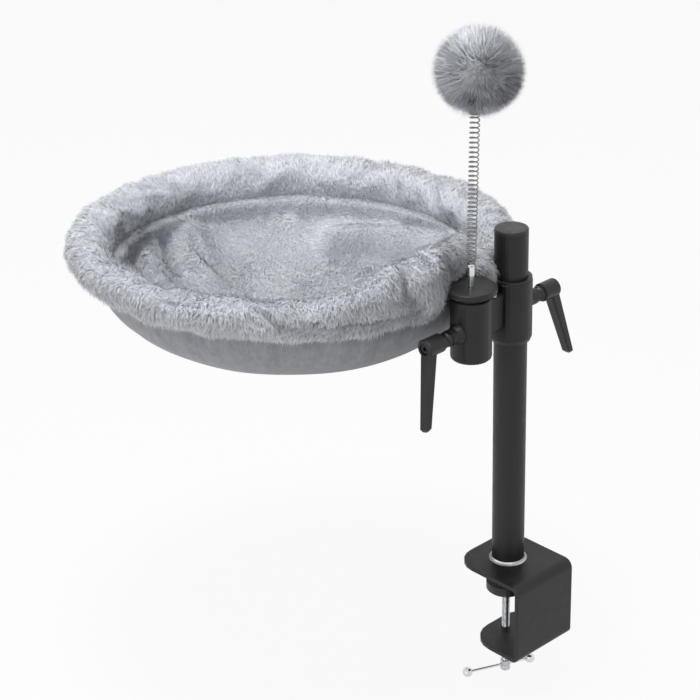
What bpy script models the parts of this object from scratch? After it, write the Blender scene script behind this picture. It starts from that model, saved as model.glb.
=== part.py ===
"""A cat hammock bed held over a desk by a clamp, a post and a double sleeve.

Metres, +Z up. The origin lies on the post's axis in the underside of the
clamp's top plate, which rests on the desk. The clamp's spine faces -Y.
"""

import math

import bmesh
import bpy
import numpy as np
from mathutils import Matrix, Vector

# Gap that touching pieces keep, and how finely round shapes are divided
FIT = 0.0003
ROUND_STEPS = 32
SMALL_STEPS = 18
SOFT_STEPS = 48
BEND_STEPS = 5
BALL_STEPS = 7
QUARTER = math.pi / 2
HALF_TURN = math.pi
FULL_TURN = 2 * math.pi
SHARP_ANGLE = math.radians(35)
FACET_TWIST = math.radians(3.7)

# Clamp bracket, bent from one plate
PLATE = 0.0045
BRACKET_WIDTH = 0.080
SPINE_FACE = -0.050
TOP_PLATE_END = 0.036
LOWER_PLATE_END = 0.016
BRACKET_HEIGHT = 0.086
TOP_BEND = 0.009
LOWER_BEND = 0.007
TOP_CORNER = 0.024
LOWER_CORNER = 0.028
PLATE_EDGE = 0.0004
PLATE_EDGE_ANGLE = math.radians(60)
PLATE_TOP = PLATE
LOWER_FACE = PLATE_TOP - BRACKET_HEIGHT
LOWER_TOP = LOWER_FACE + PLATE

# Post
POST_RADIUS = 0.016
POST_WALL = 0.002
POST_TOP = 0.3527
WELD_LEG = 0.0026
WELD_WAIST = 0.0009
CAP_TOP = 0.3569
CAP_EDGE = 0.0009
CAP_PLUG = 0.012
POST_BORE = POST_RADIUS - POST_WALL

# Clamp screw, pad and tommy bar
SCREW_Y = 0.002
SCREW_RADIUS = 0.004
SCREW_HOLE = 0.00435
SCREW_TOP = -0.0246
SCREW_HEAD_RADIUS = 0.005
SCREW_HEAD_TOP = -0.1175
SCREW_HEAD_FACE = -0.1297
SCREW_CHAMFER = 0.0008
PAD_RADIUS = 0.020
PAD_FACE = -0.0122
PAD_SPLIT = -0.0220
PAD_BASE = -0.0326
PAD_EDGE = 0.0016
PAD_SOCKET = 0.0046
PAD_RIBS = 30
PAD_RIB_DEPTH = 0.0008
BAR_TURN = math.radians(-23.6)
BAR_HEIGHT = -0.1236
BAR_RADIUS = 0.0015
BAR_HOLE = 0.0019
BAR_SPAN = 0.069
BAR_SLIP = -0.0073
BALL_RADIUS = 0.0053
BALL_SOCKET = 0.0035

# Double sleeve casting; its long side points from the post to the pivot
BRACKET_TURN = math.radians(186.5)
PIVOT_REACH = 0.0616
LOCK_HEIGHT = 0.2775
SLEEVE_RADIUS = 0.0203
SLEEVE_BELOW_LOCK = 0.0328
SLEEVE_BASE = LOCK_HEIGHT - SLEEVE_BELOW_LOCK
SLEEVE_LENGTH = 0.0620
SLEEVE_TOP = SLEEVE_BASE + SLEEVE_LENGTH
SLEEVE_TAPER = 0.0042
SLEEVE_FOOT = 0.0187
SOCKET_RADIUS = 0.0194
SOCKET_BELOW_LOCK = 0.0298
SOCKET_BASE = LOCK_HEIGHT - SOCKET_BELOW_LOCK
SOCKET_LENGTH = 0.0611
SOCKET_TOP = SOCKET_BASE + SOCKET_LENGTH
SOCKET_EDGE = 0.0030
SOCKET_EDGE_STEPS = 3
SOCKET_FLOOR = 0.0043
RIM_EDGE = 0.0008
WEB_THICKNESS = 0.012
WEB_BELOW_LOCK = 0.0155
WEB_BASE = LOCK_HEIGHT - WEB_BELOW_LOCK
WEB_HEIGHT = 0.037
WEB_TOP = WEB_BASE + WEB_HEIGHT
WEB_EDGE = 0.003
WEB_EDGE_STEPS = 2
BUSH_BORE = 0.0163
BUSH_RADIUS = 0.0175
BUSH_FLANGE = 0.0199
BUSH_FLANGE_THICKNESS = 0.0018
SLEEVE_BORE = BUSH_RADIUS + FIT

# Clamping levers, measured outward from the axis that each one locks
POST_LOCK_TURN = math.radians(-5.5)
PIVOT_LOCK_TURN = math.radians(-4.5)
BOSS_RADIUS = 0.0078
BOSS_END = 0.0315
BOSS_FLARE = 0.0100
BOSS_FLARE_END = 0.0245
STUD_HOLE = 0.0043
SHOE_RADIUS = 0.0039
SHOE_LENGTH = 0.003
STUD_RADIUS = 0.004
COLLAR_RADIUS = 0.0073
COLLAR_WAIST = 0.0062
COLLAR_WAIST_START = 0.0352
COLLAR_WAIST_MIDDLE = 0.0368
COLLAR_WAIST_END = 0.0383
COLLAR_END = 0.0417
STUD_CORE = 0.006
STUD_CORE_END = 0.0504
STUD_BORE = 0.0025
STUD_BORE_START = 0.0440
HUB_START = 0.0420
HUB_END = 0.0630
HUB_RADIUS = 0.0090
HUB_EDGE = 0.0012
HUB_CORE_BORE = 0.0063
HUB_SHOULDER = 0.0507
HUB_SHOULDER_END = 0.0535
HUB_SCREW_HOLE = 0.0029
HUB_RECESS = 0.0056
LOCK_SCREW_START = 0.0445
LOCK_SCREW_NECK = 0.0589
LOCK_SCREW_END = 0.0621
LOCK_SCREW_RADIUS = 0.0022
LOCK_SCREW_HEAD = 0.0052
HEX_SIDES = 6
HEX_KEY = 0.0024
HEX_DEPTH = 0.0018
ARM_REACH = 0.073
ARM_ROOT_OUT = 0.0565
ARM_TIP_OUT = 0.0790
ARM_ROOT_HALF = (0.0066, 0.0062)
ARM_TIP_HALF = (0.0050, 0.0034)
ARM_CORNER_SHARE = 0.35
ARM_TIP_EDGE = 0.0025
PIVOT_LOCK_SWING = math.radians(12.5)
POST_LOCK_SWING = math.radians(-4.5)

# Swivel: pin, washer, disc and the bolt under the disc's edge
BED_TURN = math.radians(96.2)
PIN_RADIUS = 0.010
PIN_END_GAP = 0.0006
PIN_BASE = SOCKET_BASE + SOCKET_FLOOR + PIN_END_GAP
PIN_GROOVE = 0.0090
PIN_GROOVE_HALF = 0.0050
PIN_EDGE = 0.001
DISC_ABOVE_SOCKET = 0.0042
DISC_BASE = SOCKET_TOP + DISC_ABOVE_SOCKET
DISC_THICKNESS = 0.006
DISC_TOP = DISC_BASE + DISC_THICKNESS
DISC_RADIUS = 0.0242
DISC_EDGE = 0.0008
WASHER_RADIUS = 0.017
STEM_HOLE = 0.0028
STEM_HOLE_DEPTH = 0.0205
STEM_HOLE_FLOOR = DISC_TOP - STEM_HOLE_DEPTH
BOLT_ANGLE = math.radians(-145)
BOLT_REACH = 0.0205
BOLT_RADIUS = 0.0029
BOLT_LENGTH = 0.0037
BOLT_BASE = DISC_BASE - BOLT_LENGTH

# Hoop and sling
HOOP_RADIUS = 0.1965
HOOP_TO_PIVOT = 0.0242
RING_REACH = HOOP_RADIUS + HOOP_TO_PIVOT
HOOP_HEIGHT = DISC_BASE + DISC_THICKNESS / 2
HOOP_TUBE = 0.006
HOOP_SIDES = 8
HEM_INSIDE = 0.0063
HEM_OUTSIDE = 0.0075
HEM_SEAM_SHARE = 64

# Bowl: half ellipsoids that hang from one rim height
RIM_BELOW_HOOP = 0.0235
BOWL_RIM = HOOP_HEIGHT - RIM_BELOW_HOOP
BOWL_RISE = 0.005
BAG_OUTSIDE_SET_IN = 0.0019
BAG_OUTSIDE = (HOOP_RADIUS - BAG_OUTSIDE_SET_IN, 0.0915)
BAG_INSIDE_SET_IN = 0.0045
BAG_INSIDE = (HOOP_RADIUS - BAG_INSIDE_SET_IN, 0.0889)
SLING_OUTSIDE_SET_IN = 0.0050
SLING_OUTSIDE = (HOOP_RADIUS - SLING_OUTSIDE_SET_IN, 0.0884)
SLING_INSIDE_SET_IN = 0.0060
SLING_INSIDE = (HOOP_RADIUS - SLING_INSIDE_SET_IN, 0.0874)
SLING_BELOW_HOOP = 0.0064
SLING_TOP = HOOP_HEIGHT - SLING_BELOW_HOOP
TAB_OUTSIDE_SET_IN = 0.0064
TAB_OUTSIDE = (HOOP_RADIUS - TAB_OUTSIDE_SET_IN, 0.0870)
TAB_INSIDE_SET_IN = 0.0076
TAB_INSIDE = (HOOP_RADIUS - TAB_INSIDE_SET_IN, 0.0858)
TAB_STEPS = (4, 5, 6)
TAB_RINGS = (3, 4)
LINING_OUTSIDE_SET_IN = 0.0080
LINING_OUTSIDE = (HOOP_RADIUS - LINING_OUTSIDE_SET_IN, 0.0854)
LINING_INSIDE_SET_IN = 0.0198
LINING_INSIDE = (HOOP_RADIUS - LINING_INSIDE_SET_IN, 0.0714)
BOWL_RINGS = 5

# The lining's main folds: rise, half width and the line that each runs along (x, y beside the
# hoop's centre); they fade out before the rim
LINING_RISES = tuple(math.radians(rise) for rise in (-90, -68, -50, -36, -25, -16, -8, 0))
LINING_FOLDS = ((0.009, 0.012, ((0.171, 0.037), (0.159, 0.044), (0.134, 0.056))),
                (0.013, 0.014, ((0.172, -0.026), (0.155, -0.021), (0.134, -0.008), (0.110, 0.010))),
                (0.008, 0.011, ((0.071, -0.139), (0.037, -0.160), (-0.017, -0.166), (-0.064, -0.160))))
FOLD_FADE = (0.166, 0.1755)

# Plush rim: an oval roll round the hoop, narrow beside the post
ROLL_BELOW_HOOP = 0.0035
ROLL_HEIGHT = HOOP_HEIGHT - ROLL_BELOW_HOOP
COVER_GAP_STEPS = 1
ROLL_OUT_NARROW = 0.0106
ROLL_OUT_WIDE = 0.0245
ROLL_IN_NARROW = 0.0190
ROLL_IN_WIDE = 0.0240
ROLL_HALF_LOW = 0.0140
ROLL_HALF_HIGH = 0.0190
ROLL_POST_SWELL = (math.radians(21), math.radians(40))
ROLL_FREE_SWELL = (math.radians(4), math.radians(18))
ROLL_BORE = 0.0082
ROLL_SLOT = (-0.0070, -0.0030)
ROLL_POINTS = 15
ROLL_BORE_POINTS = 8

# Toy: stem, ferrule, spring, plug and pompom
TOY_DIRECTION = math.radians(-43.2)
TOY_LEAN = math.radians(1.2)
STEM_RADIUS = 0.0025
STEM_END_GAP = 0.0005
STEM_BASE = STEM_HOLE_FLOOR + STEM_END_GAP
FERRULE_RADIUS = 0.0033
STEM_SHOWS = 0.0105
FERRULE_BASE = DISC_TOP + STEM_SHOWS
FERRULE_LENGTH = 0.0095
FERRULE_TOP = FERRULE_BASE + FERRULE_LENGTH
FERRULE_EDGE = 0.0004
SPRING_WIRE = 0.0005
SPRING_RADIUS = 0.0043
SPRING_NECK = 0.0025
SPRING_TURNS = 34
SPRING_NECK_TURNS = 1.5
SPRING_POINTS = 8
SPRING_PITCH_LOW = 0.0036
SPRING_PITCH_HIGH = 0.0047
SPRING_RUN = 2 * SPRING_WIRE
PLUG_RADIUS = 0.0055
PLUG_LENGTH = 0.012
POMPOM_RADIUS = 0.0370
POMPOM_RISE = 0.1823
POMPOM_HEIGHT = FERRULE_TOP + POMPOM_RISE
POMPOM_SHIFT = 0.0025
POMPOM_STEPS = 26

# Looks: colour, roughness, metallic
BLACK_METAL = ((0.018, 0.019, 0.021), 0.48, 0.6)
BLACK_CAST = ((0.014, 0.015, 0.017), 0.55, 0.3)
BLACK_PLASTIC = ((0.012, 0.012, 0.013), 0.5, 0.0)
RUBBER = ((0.02, 0.02, 0.02), 0.85, 0.0)
BRIGHT_STEEL = ((0.62, 0.62, 0.64), 0.25, 1.0)
BRASS = ((0.70, 0.52, 0.22), 0.35, 1.0)
NYLON = ((0.03, 0.03, 0.03), 0.6, 0.0)
GREY_MESH = ((0.42, 0.43, 0.45), 0.8, 0.0)
GREY_PLUSH = ((0.47, 0.51, 0.57), 0.95, 0.0)
UNDER_PLUSH = ((0.40, 0.43, 0.49), 0.95, 0.0)


def clear_scene():
    for old in list(bpy.data.objects):
        bpy.data.objects.remove(old, do_unlink=True)


def look(name, values):
    colour, roughness, metallic = values
    material = bpy.data.materials.new(name + "_look")
    material.use_nodes = True
    shader = material.node_tree.nodes["Principled BSDF"]
    shader.inputs["Base Color"].default_value = (*colour, 1)
    shader.inputs["Roughness"].default_value = roughness
    shader.inputs["Metallic"].default_value = metallic
    return material


def empty(name, parent=None, location=(0, 0, 0), rotation=(0, 0, 0)):
    frame = bpy.data.objects.new(name, None)
    bpy.context.scene.collection.objects.link(frame)
    frame.parent = parent
    frame.location = location
    frame.rotation_euler = rotation
    return frame


def piece(name, shape, values=None, parent=None, location=(0, 0, 0), rotation=(0, 0, 0)):
    """Turn a bmesh into a named object; without a look it becomes a guide for cutting or joining."""
    bmesh.ops.remove_doubles(shape, verts=shape.verts, dist=1e-6)
    bmesh.ops.recalc_face_normals(shape, faces=shape.faces)
    mesh = bpy.data.meshes.new(name)
    shape.to_mesh(mesh)
    shape.free()
    made = bpy.data.objects.new(name, mesh)
    bpy.context.scene.collection.objects.link(made)
    made.parent = parent
    made.location = location
    made.rotation_euler = rotation
    if values is None:
        made.hide_render = True
        made.display_type = "WIRE"
    else:
        mesh.materials.append(look(name, values))
        mesh.shade_smooth()
        mesh.set_sharp_from_angle(angle=SHARP_ANGLE)
    return made


def combine(target, operation, *guides):
    for guide in guides:
        step = target.modifiers.new(guide.name, "BOOLEAN")
        step.operation = operation
        step.object = guide


def turned(profile, steps=ROUND_STEPS):
    """Spin (radius, height) points about Z; a profile that leaves the axis free is closed first."""
    shape = bmesh.new()
    points = [shape.verts.new((radius, 0, height)) for radius, height in profile]
    edges = [shape.edges.new(pair) for pair in zip(points, points[1:])]
    if profile[0][0] > 0:
        edges.append(shape.edges.new((points[-1], points[0])))
    bmesh.ops.spin(shape, geom=points + edges, cent=(0, 0, 0), axis=(0, 0, 1),
                   angle=FULL_TURN, steps=steps, use_merge=True)
    bmesh.ops.remove_doubles(shape, verts=shape.verts, dist=1e-6)
    return shape


def rod(radius, bottom, top, steps=ROUND_STEPS):
    return turned([(0, bottom), (radius, bottom), (radius, top), (0, top)], steps)


def ring(inside, outside, bottom, top, steps=ROUND_STEPS):
    return turned([(inside, bottom), (outside, bottom), (outside, top), (inside, top)], steps)


def arc(centre, radius, start, end, steps):
    """Points (across, up) on an arc, from start to end angle."""
    return [(centre[0] + radius * math.cos(start + (end - start) * share),
             centre[1] + radius * math.sin(start + (end - start) * share))
            for share in np.linspace(0, 1, steps + 1)]


def ball(radius, height=0, steps=SMALL_STEPS):
    profile = arc((0, height), radius, -QUARTER, QUARTER, BALL_STEPS)
    profile[0] = (0, height - radius)
    profile[-1] = (0, height + radius)
    return turned(profile, steps)


def skin(stations, loop=False):
    """Join outlines of equal point count into one closed body, capped unless they run in a loop."""
    shape = bmesh.new()
    rows = [[shape.verts.new(point) for point in station] for station in stations]
    count = len(rows[0])
    pairs = list(zip(rows, rows[1:]))
    if loop:
        pairs.append((rows[-1], rows[0]))
    for first, second in pairs:
        for spot in range(count):
            after = (spot + 1) % count
            shape.faces.new((first[spot], first[after], second[after], second[spot]))
    if not loop:
        shape.faces.new(rows[0][::-1])
        shape.faces.new(rows[-1])
    return shape


def block(low, high):
    shape = bmesh.new()
    bmesh.ops.create_cube(shape, size=1)
    size = Vector(high) - Vector(low)
    middle = (Vector(high) + Vector(low)) / 2
    bmesh.ops.transform(shape, matrix=Matrix.Translation(middle) @ Matrix.Diagonal((*size, 1)),
                        verts=shape.verts)
    return shape


def smooth_share(value, start, end):
    share = min(max((value - start) / (end - start), 0), 1)
    return share * share * (3 - 2 * share)


def bracket_outline():
    """Side view (y, z) of the bent plate, outside first, then back along its inside."""
    top_centre = (SPINE_FACE + TOP_BEND, PLATE_TOP - TOP_BEND)
    low_centre = (SPINE_FACE + LOWER_BEND, LOWER_FACE + LOWER_BEND)
    outline = [(TOP_PLATE_END, PLATE_TOP)]
    outline += arc(top_centre, TOP_BEND, QUARTER, HALF_TURN, BEND_STEPS)
    outline += arc(low_centre, LOWER_BEND, HALF_TURN, HALF_TURN + QUARTER, BEND_STEPS)
    outline += [(LOWER_PLATE_END, LOWER_FACE), (LOWER_PLATE_END, LOWER_TOP)]
    outline += arc(low_centre, LOWER_BEND - PLATE, HALF_TURN + QUARTER, HALF_TURN, BEND_STEPS)
    outline += arc(top_centre, TOP_BEND - PLATE, HALF_TURN, QUARTER, BEND_STEPS)
    outline += [(TOP_PLATE_END, 0)]
    return outline


def round_plate_corners(shape, end, radius):
    """Round the two upright edges at one open end of the bent plate."""
    corners = [edge for edge in shape.edges
               if all(abs(vert.co.y - end) < FIT for vert in edge.verts)
               and abs(edge.verts[0].co.x - edge.verts[1].co.x) < FIT]
    bmesh.ops.bevel(shape, geom=corners, offset=radius, segments=BEND_STEPS, profile=0.5,
                    affect="EDGES")


def make_clamp():
    half = BRACKET_WIDTH / 2
    shape = skin([[(side, y, z) for y, z in bracket_outline()] for side in (-half, half)])
    round_plate_corners(shape, TOP_PLATE_END, TOP_CORNER)
    round_plate_corners(shape, LOWER_PLATE_END, LOWER_CORNER)
    bracket = piece("clamp_bracket", shape, BLACK_METAL)
    softened = bracket.modifiers.new("plate_edge", "BEVEL")
    softened.width = PLATE_EDGE
    softened.segments = 1
    softened.angle_limit = PLATE_EDGE_ANGLE
    hole = piece("screw_hole", rod(SCREW_HOLE, LOWER_FACE - PLATE, LOWER_TOP + PLATE, SMALL_STEPS),
                 location=(0, SCREW_Y, 0))
    combine(bracket, "DIFFERENCE", hole)


def make_post():
    foot = PLATE_TOP + FIT
    piece("post_tube", ring(POST_BORE, POST_RADIUS, foot, POST_TOP), BLACK_METAL)
    bead = POST_RADIUS + FIT
    piece("post_weld", turned([(bead, foot), (bead + WELD_LEG, foot),
                               (bead + WELD_WAIST, foot + WELD_WAIST),
                               (bead, foot + WELD_LEG)]), BRIGHT_STEEL)
    flange = POST_TOP + FIT
    plug = POST_BORE - FIT
    piece("post_cap", turned([(0, POST_TOP - CAP_PLUG), (plug, POST_TOP - CAP_PLUG), (plug, flange),
                              (POST_RADIUS, flange), (POST_RADIUS, CAP_TOP - CAP_EDGE),
                              (POST_RADIUS - CAP_EDGE, CAP_TOP), (0, CAP_TOP)]), BLACK_PLASTIC)


def make_pad(screw_axis):
    piece("clamp_pad", turned([(0, SCREW_TOP + FIT), (PAD_SOCKET, SCREW_TOP + FIT),
                               (PAD_SOCKET, PAD_BASE), (PAD_RADIUS - PAD_EDGE, PAD_BASE),
                               (PAD_RADIUS, PAD_BASE + PAD_EDGE), (PAD_RADIUS, PAD_SPLIT - FIT),
                               (0, PAD_SPLIT - FIT)]), BLACK_PLASTIC, screw_axis)
    spokes = [(PAD_RADIUS - PAD_RIB_DEPTH * (tooth % 2), math.pi * tooth / PAD_RIBS)
              for tooth in range(2 * PAD_RIBS)]
    tread = [[(reach * math.cos(turn), reach * math.sin(turn), height) for reach, turn in spokes]
             for height in (PAD_SPLIT, PAD_FACE)]
    piece("pad_rubber", skin(tread), RUBBER, screw_axis)


def make_screw(screw_axis):
    screw = piece("clamp_screw", turned([
        (0, SCREW_HEAD_FACE), (SCREW_HEAD_RADIUS - SCREW_CHAMFER, SCREW_HEAD_FACE),
        (SCREW_HEAD_RADIUS, SCREW_HEAD_FACE + SCREW_CHAMFER),
        (SCREW_HEAD_RADIUS, SCREW_HEAD_TOP), (SCREW_RADIUS, SCREW_HEAD_TOP + SCREW_CHAMFER),
        (SCREW_RADIUS, SCREW_TOP - SCREW_CHAMFER), (SCREW_RADIUS - SCREW_CHAMFER, SCREW_TOP),
        (0, SCREW_TOP)], SMALL_STEPS), BRIGHT_STEEL, screw_axis)
    across = (0, QUARTER, 0)
    bore = piece("bar_hole", rod(BAR_HOLE, -PAD_RADIUS, PAD_RADIUS, SMALL_STEPS),
                 parent=screw_axis, location=(0, 0, BAR_HEIGHT), rotation=across)
    combine(screw, "DIFFERENCE", bore)
    bar_middle = (BAR_SLIP, 0, BAR_HEIGHT)
    bar_end = BAR_SPAN / 2 - BALL_RADIUS + BALL_SOCKET
    piece("tommy_bar", rod(BAR_RADIUS, -bar_end, bar_end, SMALL_STEPS), BRIGHT_STEEL,
          screw_axis, bar_middle, across)
    for side, name in ((-1, "tommy_ball_left"), (1, "tommy_ball_right")):
        place = (BAR_SLIP + side * BAR_SPAN / 2, 0, BAR_HEIGHT)
        knob = piece(name, ball(BALL_RADIUS), BRIGHT_STEEL, screw_axis, place)
        depth = BALL_RADIUS - BALL_SOCKET - FIT
        socket = piece(name + "_hole", rod(BAR_HOLE, -depth, 2 * BALL_RADIUS, SMALL_STEPS),
                       parent=screw_axis, location=place, rotation=(0, -side * QUARTER, 0))
        combine(knob, "DIFFERENCE", socket)


def sleeve_body():
    return turned([(0, SLEEVE_BASE), (SLEEVE_FOOT, SLEEVE_BASE),
                   (SLEEVE_RADIUS, SLEEVE_BASE + SLEEVE_TAPER),
                   (SLEEVE_RADIUS, SLEEVE_TOP - RIM_EDGE), (SLEEVE_RADIUS - RIM_EDGE, SLEEVE_TOP),
                   (0, SLEEVE_TOP)])


def socket_body():
    corner = arc((SOCKET_RADIUS - SOCKET_EDGE, SOCKET_BASE + SOCKET_EDGE), SOCKET_EDGE,
                 -QUARTER, 0, SOCKET_EDGE_STEPS)
    return turned([(0, SOCKET_BASE), *corner, (SOCKET_RADIUS, SOCKET_TOP - RIM_EDGE),
                   (SOCKET_RADIUS - RIM_EDGE, SOCKET_TOP), (0, SOCKET_TOP)])


def make_casting(bracket_frame):
    casting = piece("double_sleeve", sleeve_body(), BLACK_CAST, bracket_frame)
    pivot = (PIVOT_REACH, 0, 0)
    socket = piece("socket_body", socket_body(), parent=bracket_frame, location=pivot)
    web = piece("web_body", block((SLEEVE_BORE, -WEB_THICKNESS / 2, WEB_BASE),
                                  (PIVOT_REACH - PIN_RADIUS, WEB_THICKNESS / 2, WEB_TOP)),
                parent=bracket_frame)
    rounded = web.modifiers.new("web_edge", "BEVEL")
    rounded.width = WEB_EDGE
    rounded.segments = WEB_EDGE_STEPS
    joined = [socket, web]
    twist = (0, 0, FACET_TWIST)
    cut = [piece("sleeve_bore", rod(SLEEVE_BORE, SLEEVE_BASE - PLATE, SLEEVE_TOP + PLATE),
                 parent=bracket_frame, rotation=twist),
           piece("socket_bore", rod(PIN_RADIUS + FIT, SOCKET_BASE + SOCKET_FLOOR, SOCKET_TOP + PLATE),
                 parent=bracket_frame, location=pivot, rotation=twist)]
    for name, place, outward, turn in (("post", 0, -QUARTER, POST_LOCK_TURN),
                                       ("pivot", PIVOT_REACH, QUARTER, PIVOT_LOCK_TURN)):
        spot = (place, 0, LOCK_HEIGHT)
        boss = turned([(0, PIN_RADIUS + PLATE), (BOSS_FLARE, PIN_RADIUS + PLATE),
                       (BOSS_FLARE, SOCKET_RADIUS), (BOSS_RADIUS, BOSS_FLARE_END),
                       (BOSS_RADIUS, BOSS_END), (0, BOSS_END)], SMALL_STEPS)
        joined.append(piece(name + "_boss", boss, parent=bracket_frame, location=spot,
                            rotation=(0, outward, turn)))
        hole = rod(STUD_HOLE, 0, BOSS_END + PLATE, SMALL_STEPS)
        bmesh.ops.rotate(hole, verts=hole.verts, matrix=Matrix.Rotation(FACET_TWIST, 3, "Z"))
        cut.append(piece(name + "_stud_hole", hole, parent=bracket_frame, location=spot,
                         rotation=(0, outward, turn)))
    combine(casting, "UNION", *joined)
    combine(casting, "DIFFERENCE", *cut)
    flange = SLEEVE_TOP + FIT
    piece("post_bush", turned([(BUSH_BORE, SLEEVE_BASE), (BUSH_RADIUS, SLEEVE_BASE),
                               (BUSH_RADIUS, flange), (BUSH_FLANGE, flange),
                               (BUSH_FLANGE, flange + BUSH_FLANGE_THICKNESS),
                               (BUSH_BORE, flange + BUSH_FLANGE_THICKNESS)]), NYLON, bracket_frame)


def arm_outline(share):
    """Eight-sided section (down, across, out) of a lever's arm at a share of its reach."""
    across = ARM_ROOT_HALF[0] + (ARM_TIP_HALF[0] - ARM_ROOT_HALF[0]) * share
    deep = ARM_ROOT_HALF[1] + (ARM_TIP_HALF[1] - ARM_ROOT_HALF[1]) * share
    middle = ARM_ROOT_OUT + (ARM_TIP_OUT - ARM_ROOT_OUT) * share
    cut = deep * ARM_CORNER_SHARE
    corners = [(across, deep - cut), (across - cut, deep), (cut - across, deep),
               (-across, deep - cut), (-across, cut - deep), (cut - across, -deep),
               (across - cut, -deep), (across, cut - deep)]
    return [(ARM_REACH * share, wide, middle + out) for wide, out in corners]


def make_lock(name, frame, locked_radius, swing):
    """A shoe, stud, handle and retaining screw, all turned about the frame's Z."""
    shoe_start = locked_radius + FIT
    shoe_end = shoe_start + SHOE_LENGTH
    piece(name + "_shoe", rod(SHOE_RADIUS, shoe_start, shoe_end, SMALL_STEPS), BRASS, frame)
    collar_start = BOSS_END + FIT
    piece(name + "_stud", turned([
        (0, shoe_end + FIT), (STUD_RADIUS, shoe_end + FIT), (STUD_RADIUS, collar_start),
        (COLLAR_RADIUS, collar_start), (COLLAR_RADIUS, COLLAR_WAIST_START),
        (COLLAR_WAIST, COLLAR_WAIST_MIDDLE), (COLLAR_RADIUS, COLLAR_WAIST_END),
        (COLLAR_RADIUS, COLLAR_END),
        (STUD_CORE, COLLAR_END), (STUD_CORE, STUD_CORE_END), (STUD_BORE, STUD_CORE_END),
        (STUD_BORE, STUD_BORE_START), (0, STUD_BORE_START)], SMALL_STEPS), BRIGHT_STEEL, frame)
    screw = piece(name + "_screw", turned([
        (0, LOCK_SCREW_START), (LOCK_SCREW_RADIUS, LOCK_SCREW_START),
        (LOCK_SCREW_RADIUS, LOCK_SCREW_NECK), (LOCK_SCREW_HEAD, LOCK_SCREW_NECK),
        (LOCK_SCREW_HEAD, LOCK_SCREW_END), (0, LOCK_SCREW_END)], SMALL_STEPS), BRIGHT_STEEL, frame)
    key = piece(name + "_key", rod(HEX_KEY, LOCK_SCREW_END - HEX_DEPTH, HUB_END, HEX_SIDES), parent=frame)
    combine(screw, "DIFFERENCE", key)
    hub = turned([(0, HUB_START), (HUB_RADIUS - HUB_EDGE, HUB_START),
                  (HUB_RADIUS, HUB_START + HUB_EDGE), (HUB_RADIUS, HUB_END - HUB_EDGE),
                  (HUB_RADIUS - HUB_EDGE, HUB_END), (0, HUB_END)], ROUND_STEPS)
    handle = piece(name + "_handle", hub, BLACK_CAST, frame, rotation=(0, 0, swing))
    rounded_shares = (0, 1 - ARM_TIP_EDGE / ARM_REACH)
    sections = [arm_outline(share) for share in rounded_shares]
    tip = arm_outline(1)
    middle = sum((Vector(point) for point in tip), Vector()) / len(tip)
    keep = 1 - ARM_TIP_EDGE / ARM_TIP_HALF[0]
    sections.append([tuple(middle + (Vector(point) - middle) * keep) for point in tip])
    arm = piece(name + "_arm", skin(sections), parent=frame, rotation=(0, 0, swing))
    bore = piece(name + "_bore", turned([
        (0, HUB_START - PLATE), (HUB_CORE_BORE, HUB_START - PLATE), (HUB_CORE_BORE, HUB_SHOULDER),
        (HUB_SCREW_HOLE, HUB_SHOULDER), (HUB_SCREW_HOLE, HUB_SHOULDER_END),
        (HUB_RECESS, HUB_SHOULDER_END), (HUB_RECESS, HUB_END + PLATE), (0, HUB_END + PLATE)],
        SMALL_STEPS), parent=frame)
    combine(handle, "UNION", arm)
    combine(handle, "DIFFERENCE", bore)


def make_pivot(swivel):
    groove_low = LOCK_HEIGHT - PIN_GROOVE_HALF
    groove_high = LOCK_HEIGHT + PIN_GROOVE_HALF
    slope = PIN_RADIUS - PIN_GROOVE
    piece("pivot_pin", turned([
        (0, PIN_BASE), (PIN_RADIUS - PIN_EDGE, PIN_BASE), (PIN_RADIUS, PIN_BASE + PIN_EDGE),
        (PIN_RADIUS, groove_low - slope), (PIN_GROOVE, groove_low), (PIN_GROOVE, groove_high),
        (PIN_RADIUS, groove_high + slope), (PIN_RADIUS, DISC_BASE - FIT),
        (STEM_HOLE, DISC_BASE - FIT), (STEM_HOLE, STEM_HOLE_FLOOR), (0, STEM_HOLE_FLOOR)],
        SMALL_STEPS), BRIGHT_STEEL, swivel)
    piece("thrust_washer", ring(PIN_RADIUS + FIT, WASHER_RADIUS, SOCKET_TOP + FIT, DISC_BASE - FIT),
          NYLON, swivel)
    disc = piece("pivot_disc", turned([
        (STEM_HOLE, DISC_BASE), (DISC_RADIUS - DISC_EDGE, DISC_BASE),
        (DISC_RADIUS, DISC_BASE + DISC_EDGE), (DISC_RADIUS, DISC_TOP - DISC_EDGE),
        (DISC_RADIUS - DISC_EDGE, DISC_TOP), (STEM_HOLE, DISC_TOP)]), BLACK_METAL, swivel)
    saddle = piece("hoop_saddle", skin(ring_stations(HOOP_TUBE + FIT), loop=True),
                   parent=swivel, location=(RING_REACH, 0, 0))
    combine(disc, "DIFFERENCE", saddle)
    bolt_place = (BOLT_REACH * math.cos(BOLT_ANGLE), BOLT_REACH * math.sin(BOLT_ANGLE), 0)
    piece("stop_bolt", rod(BOLT_RADIUS, BOLT_BASE, DISC_BASE - FIT, HEX_SIDES), BRIGHT_STEEL, swivel,
          bolt_place)


def round_hoop(turn, out, height):
    """Point beside the hoop; turn 0 is the side next to the pivot."""
    reach = HOOP_RADIUS + out
    return (-reach * math.cos(turn), -reach * math.sin(turn), height)


def ring_stations(radius):
    """Sections of a round tube that follows the whole hoop."""
    section = [(radius * math.cos(FULL_TURN * side / HOOP_SIDES),
                radius * math.sin(FULL_TURN * side / HOOP_SIDES)) for side in range(HOOP_SIDES)]
    return [[round_hoop(FULL_TURN * step / SOFT_STEPS, out, HOOP_HEIGHT + up) for out, up in section]
            for step in range(SOFT_STEPS)]


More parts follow.
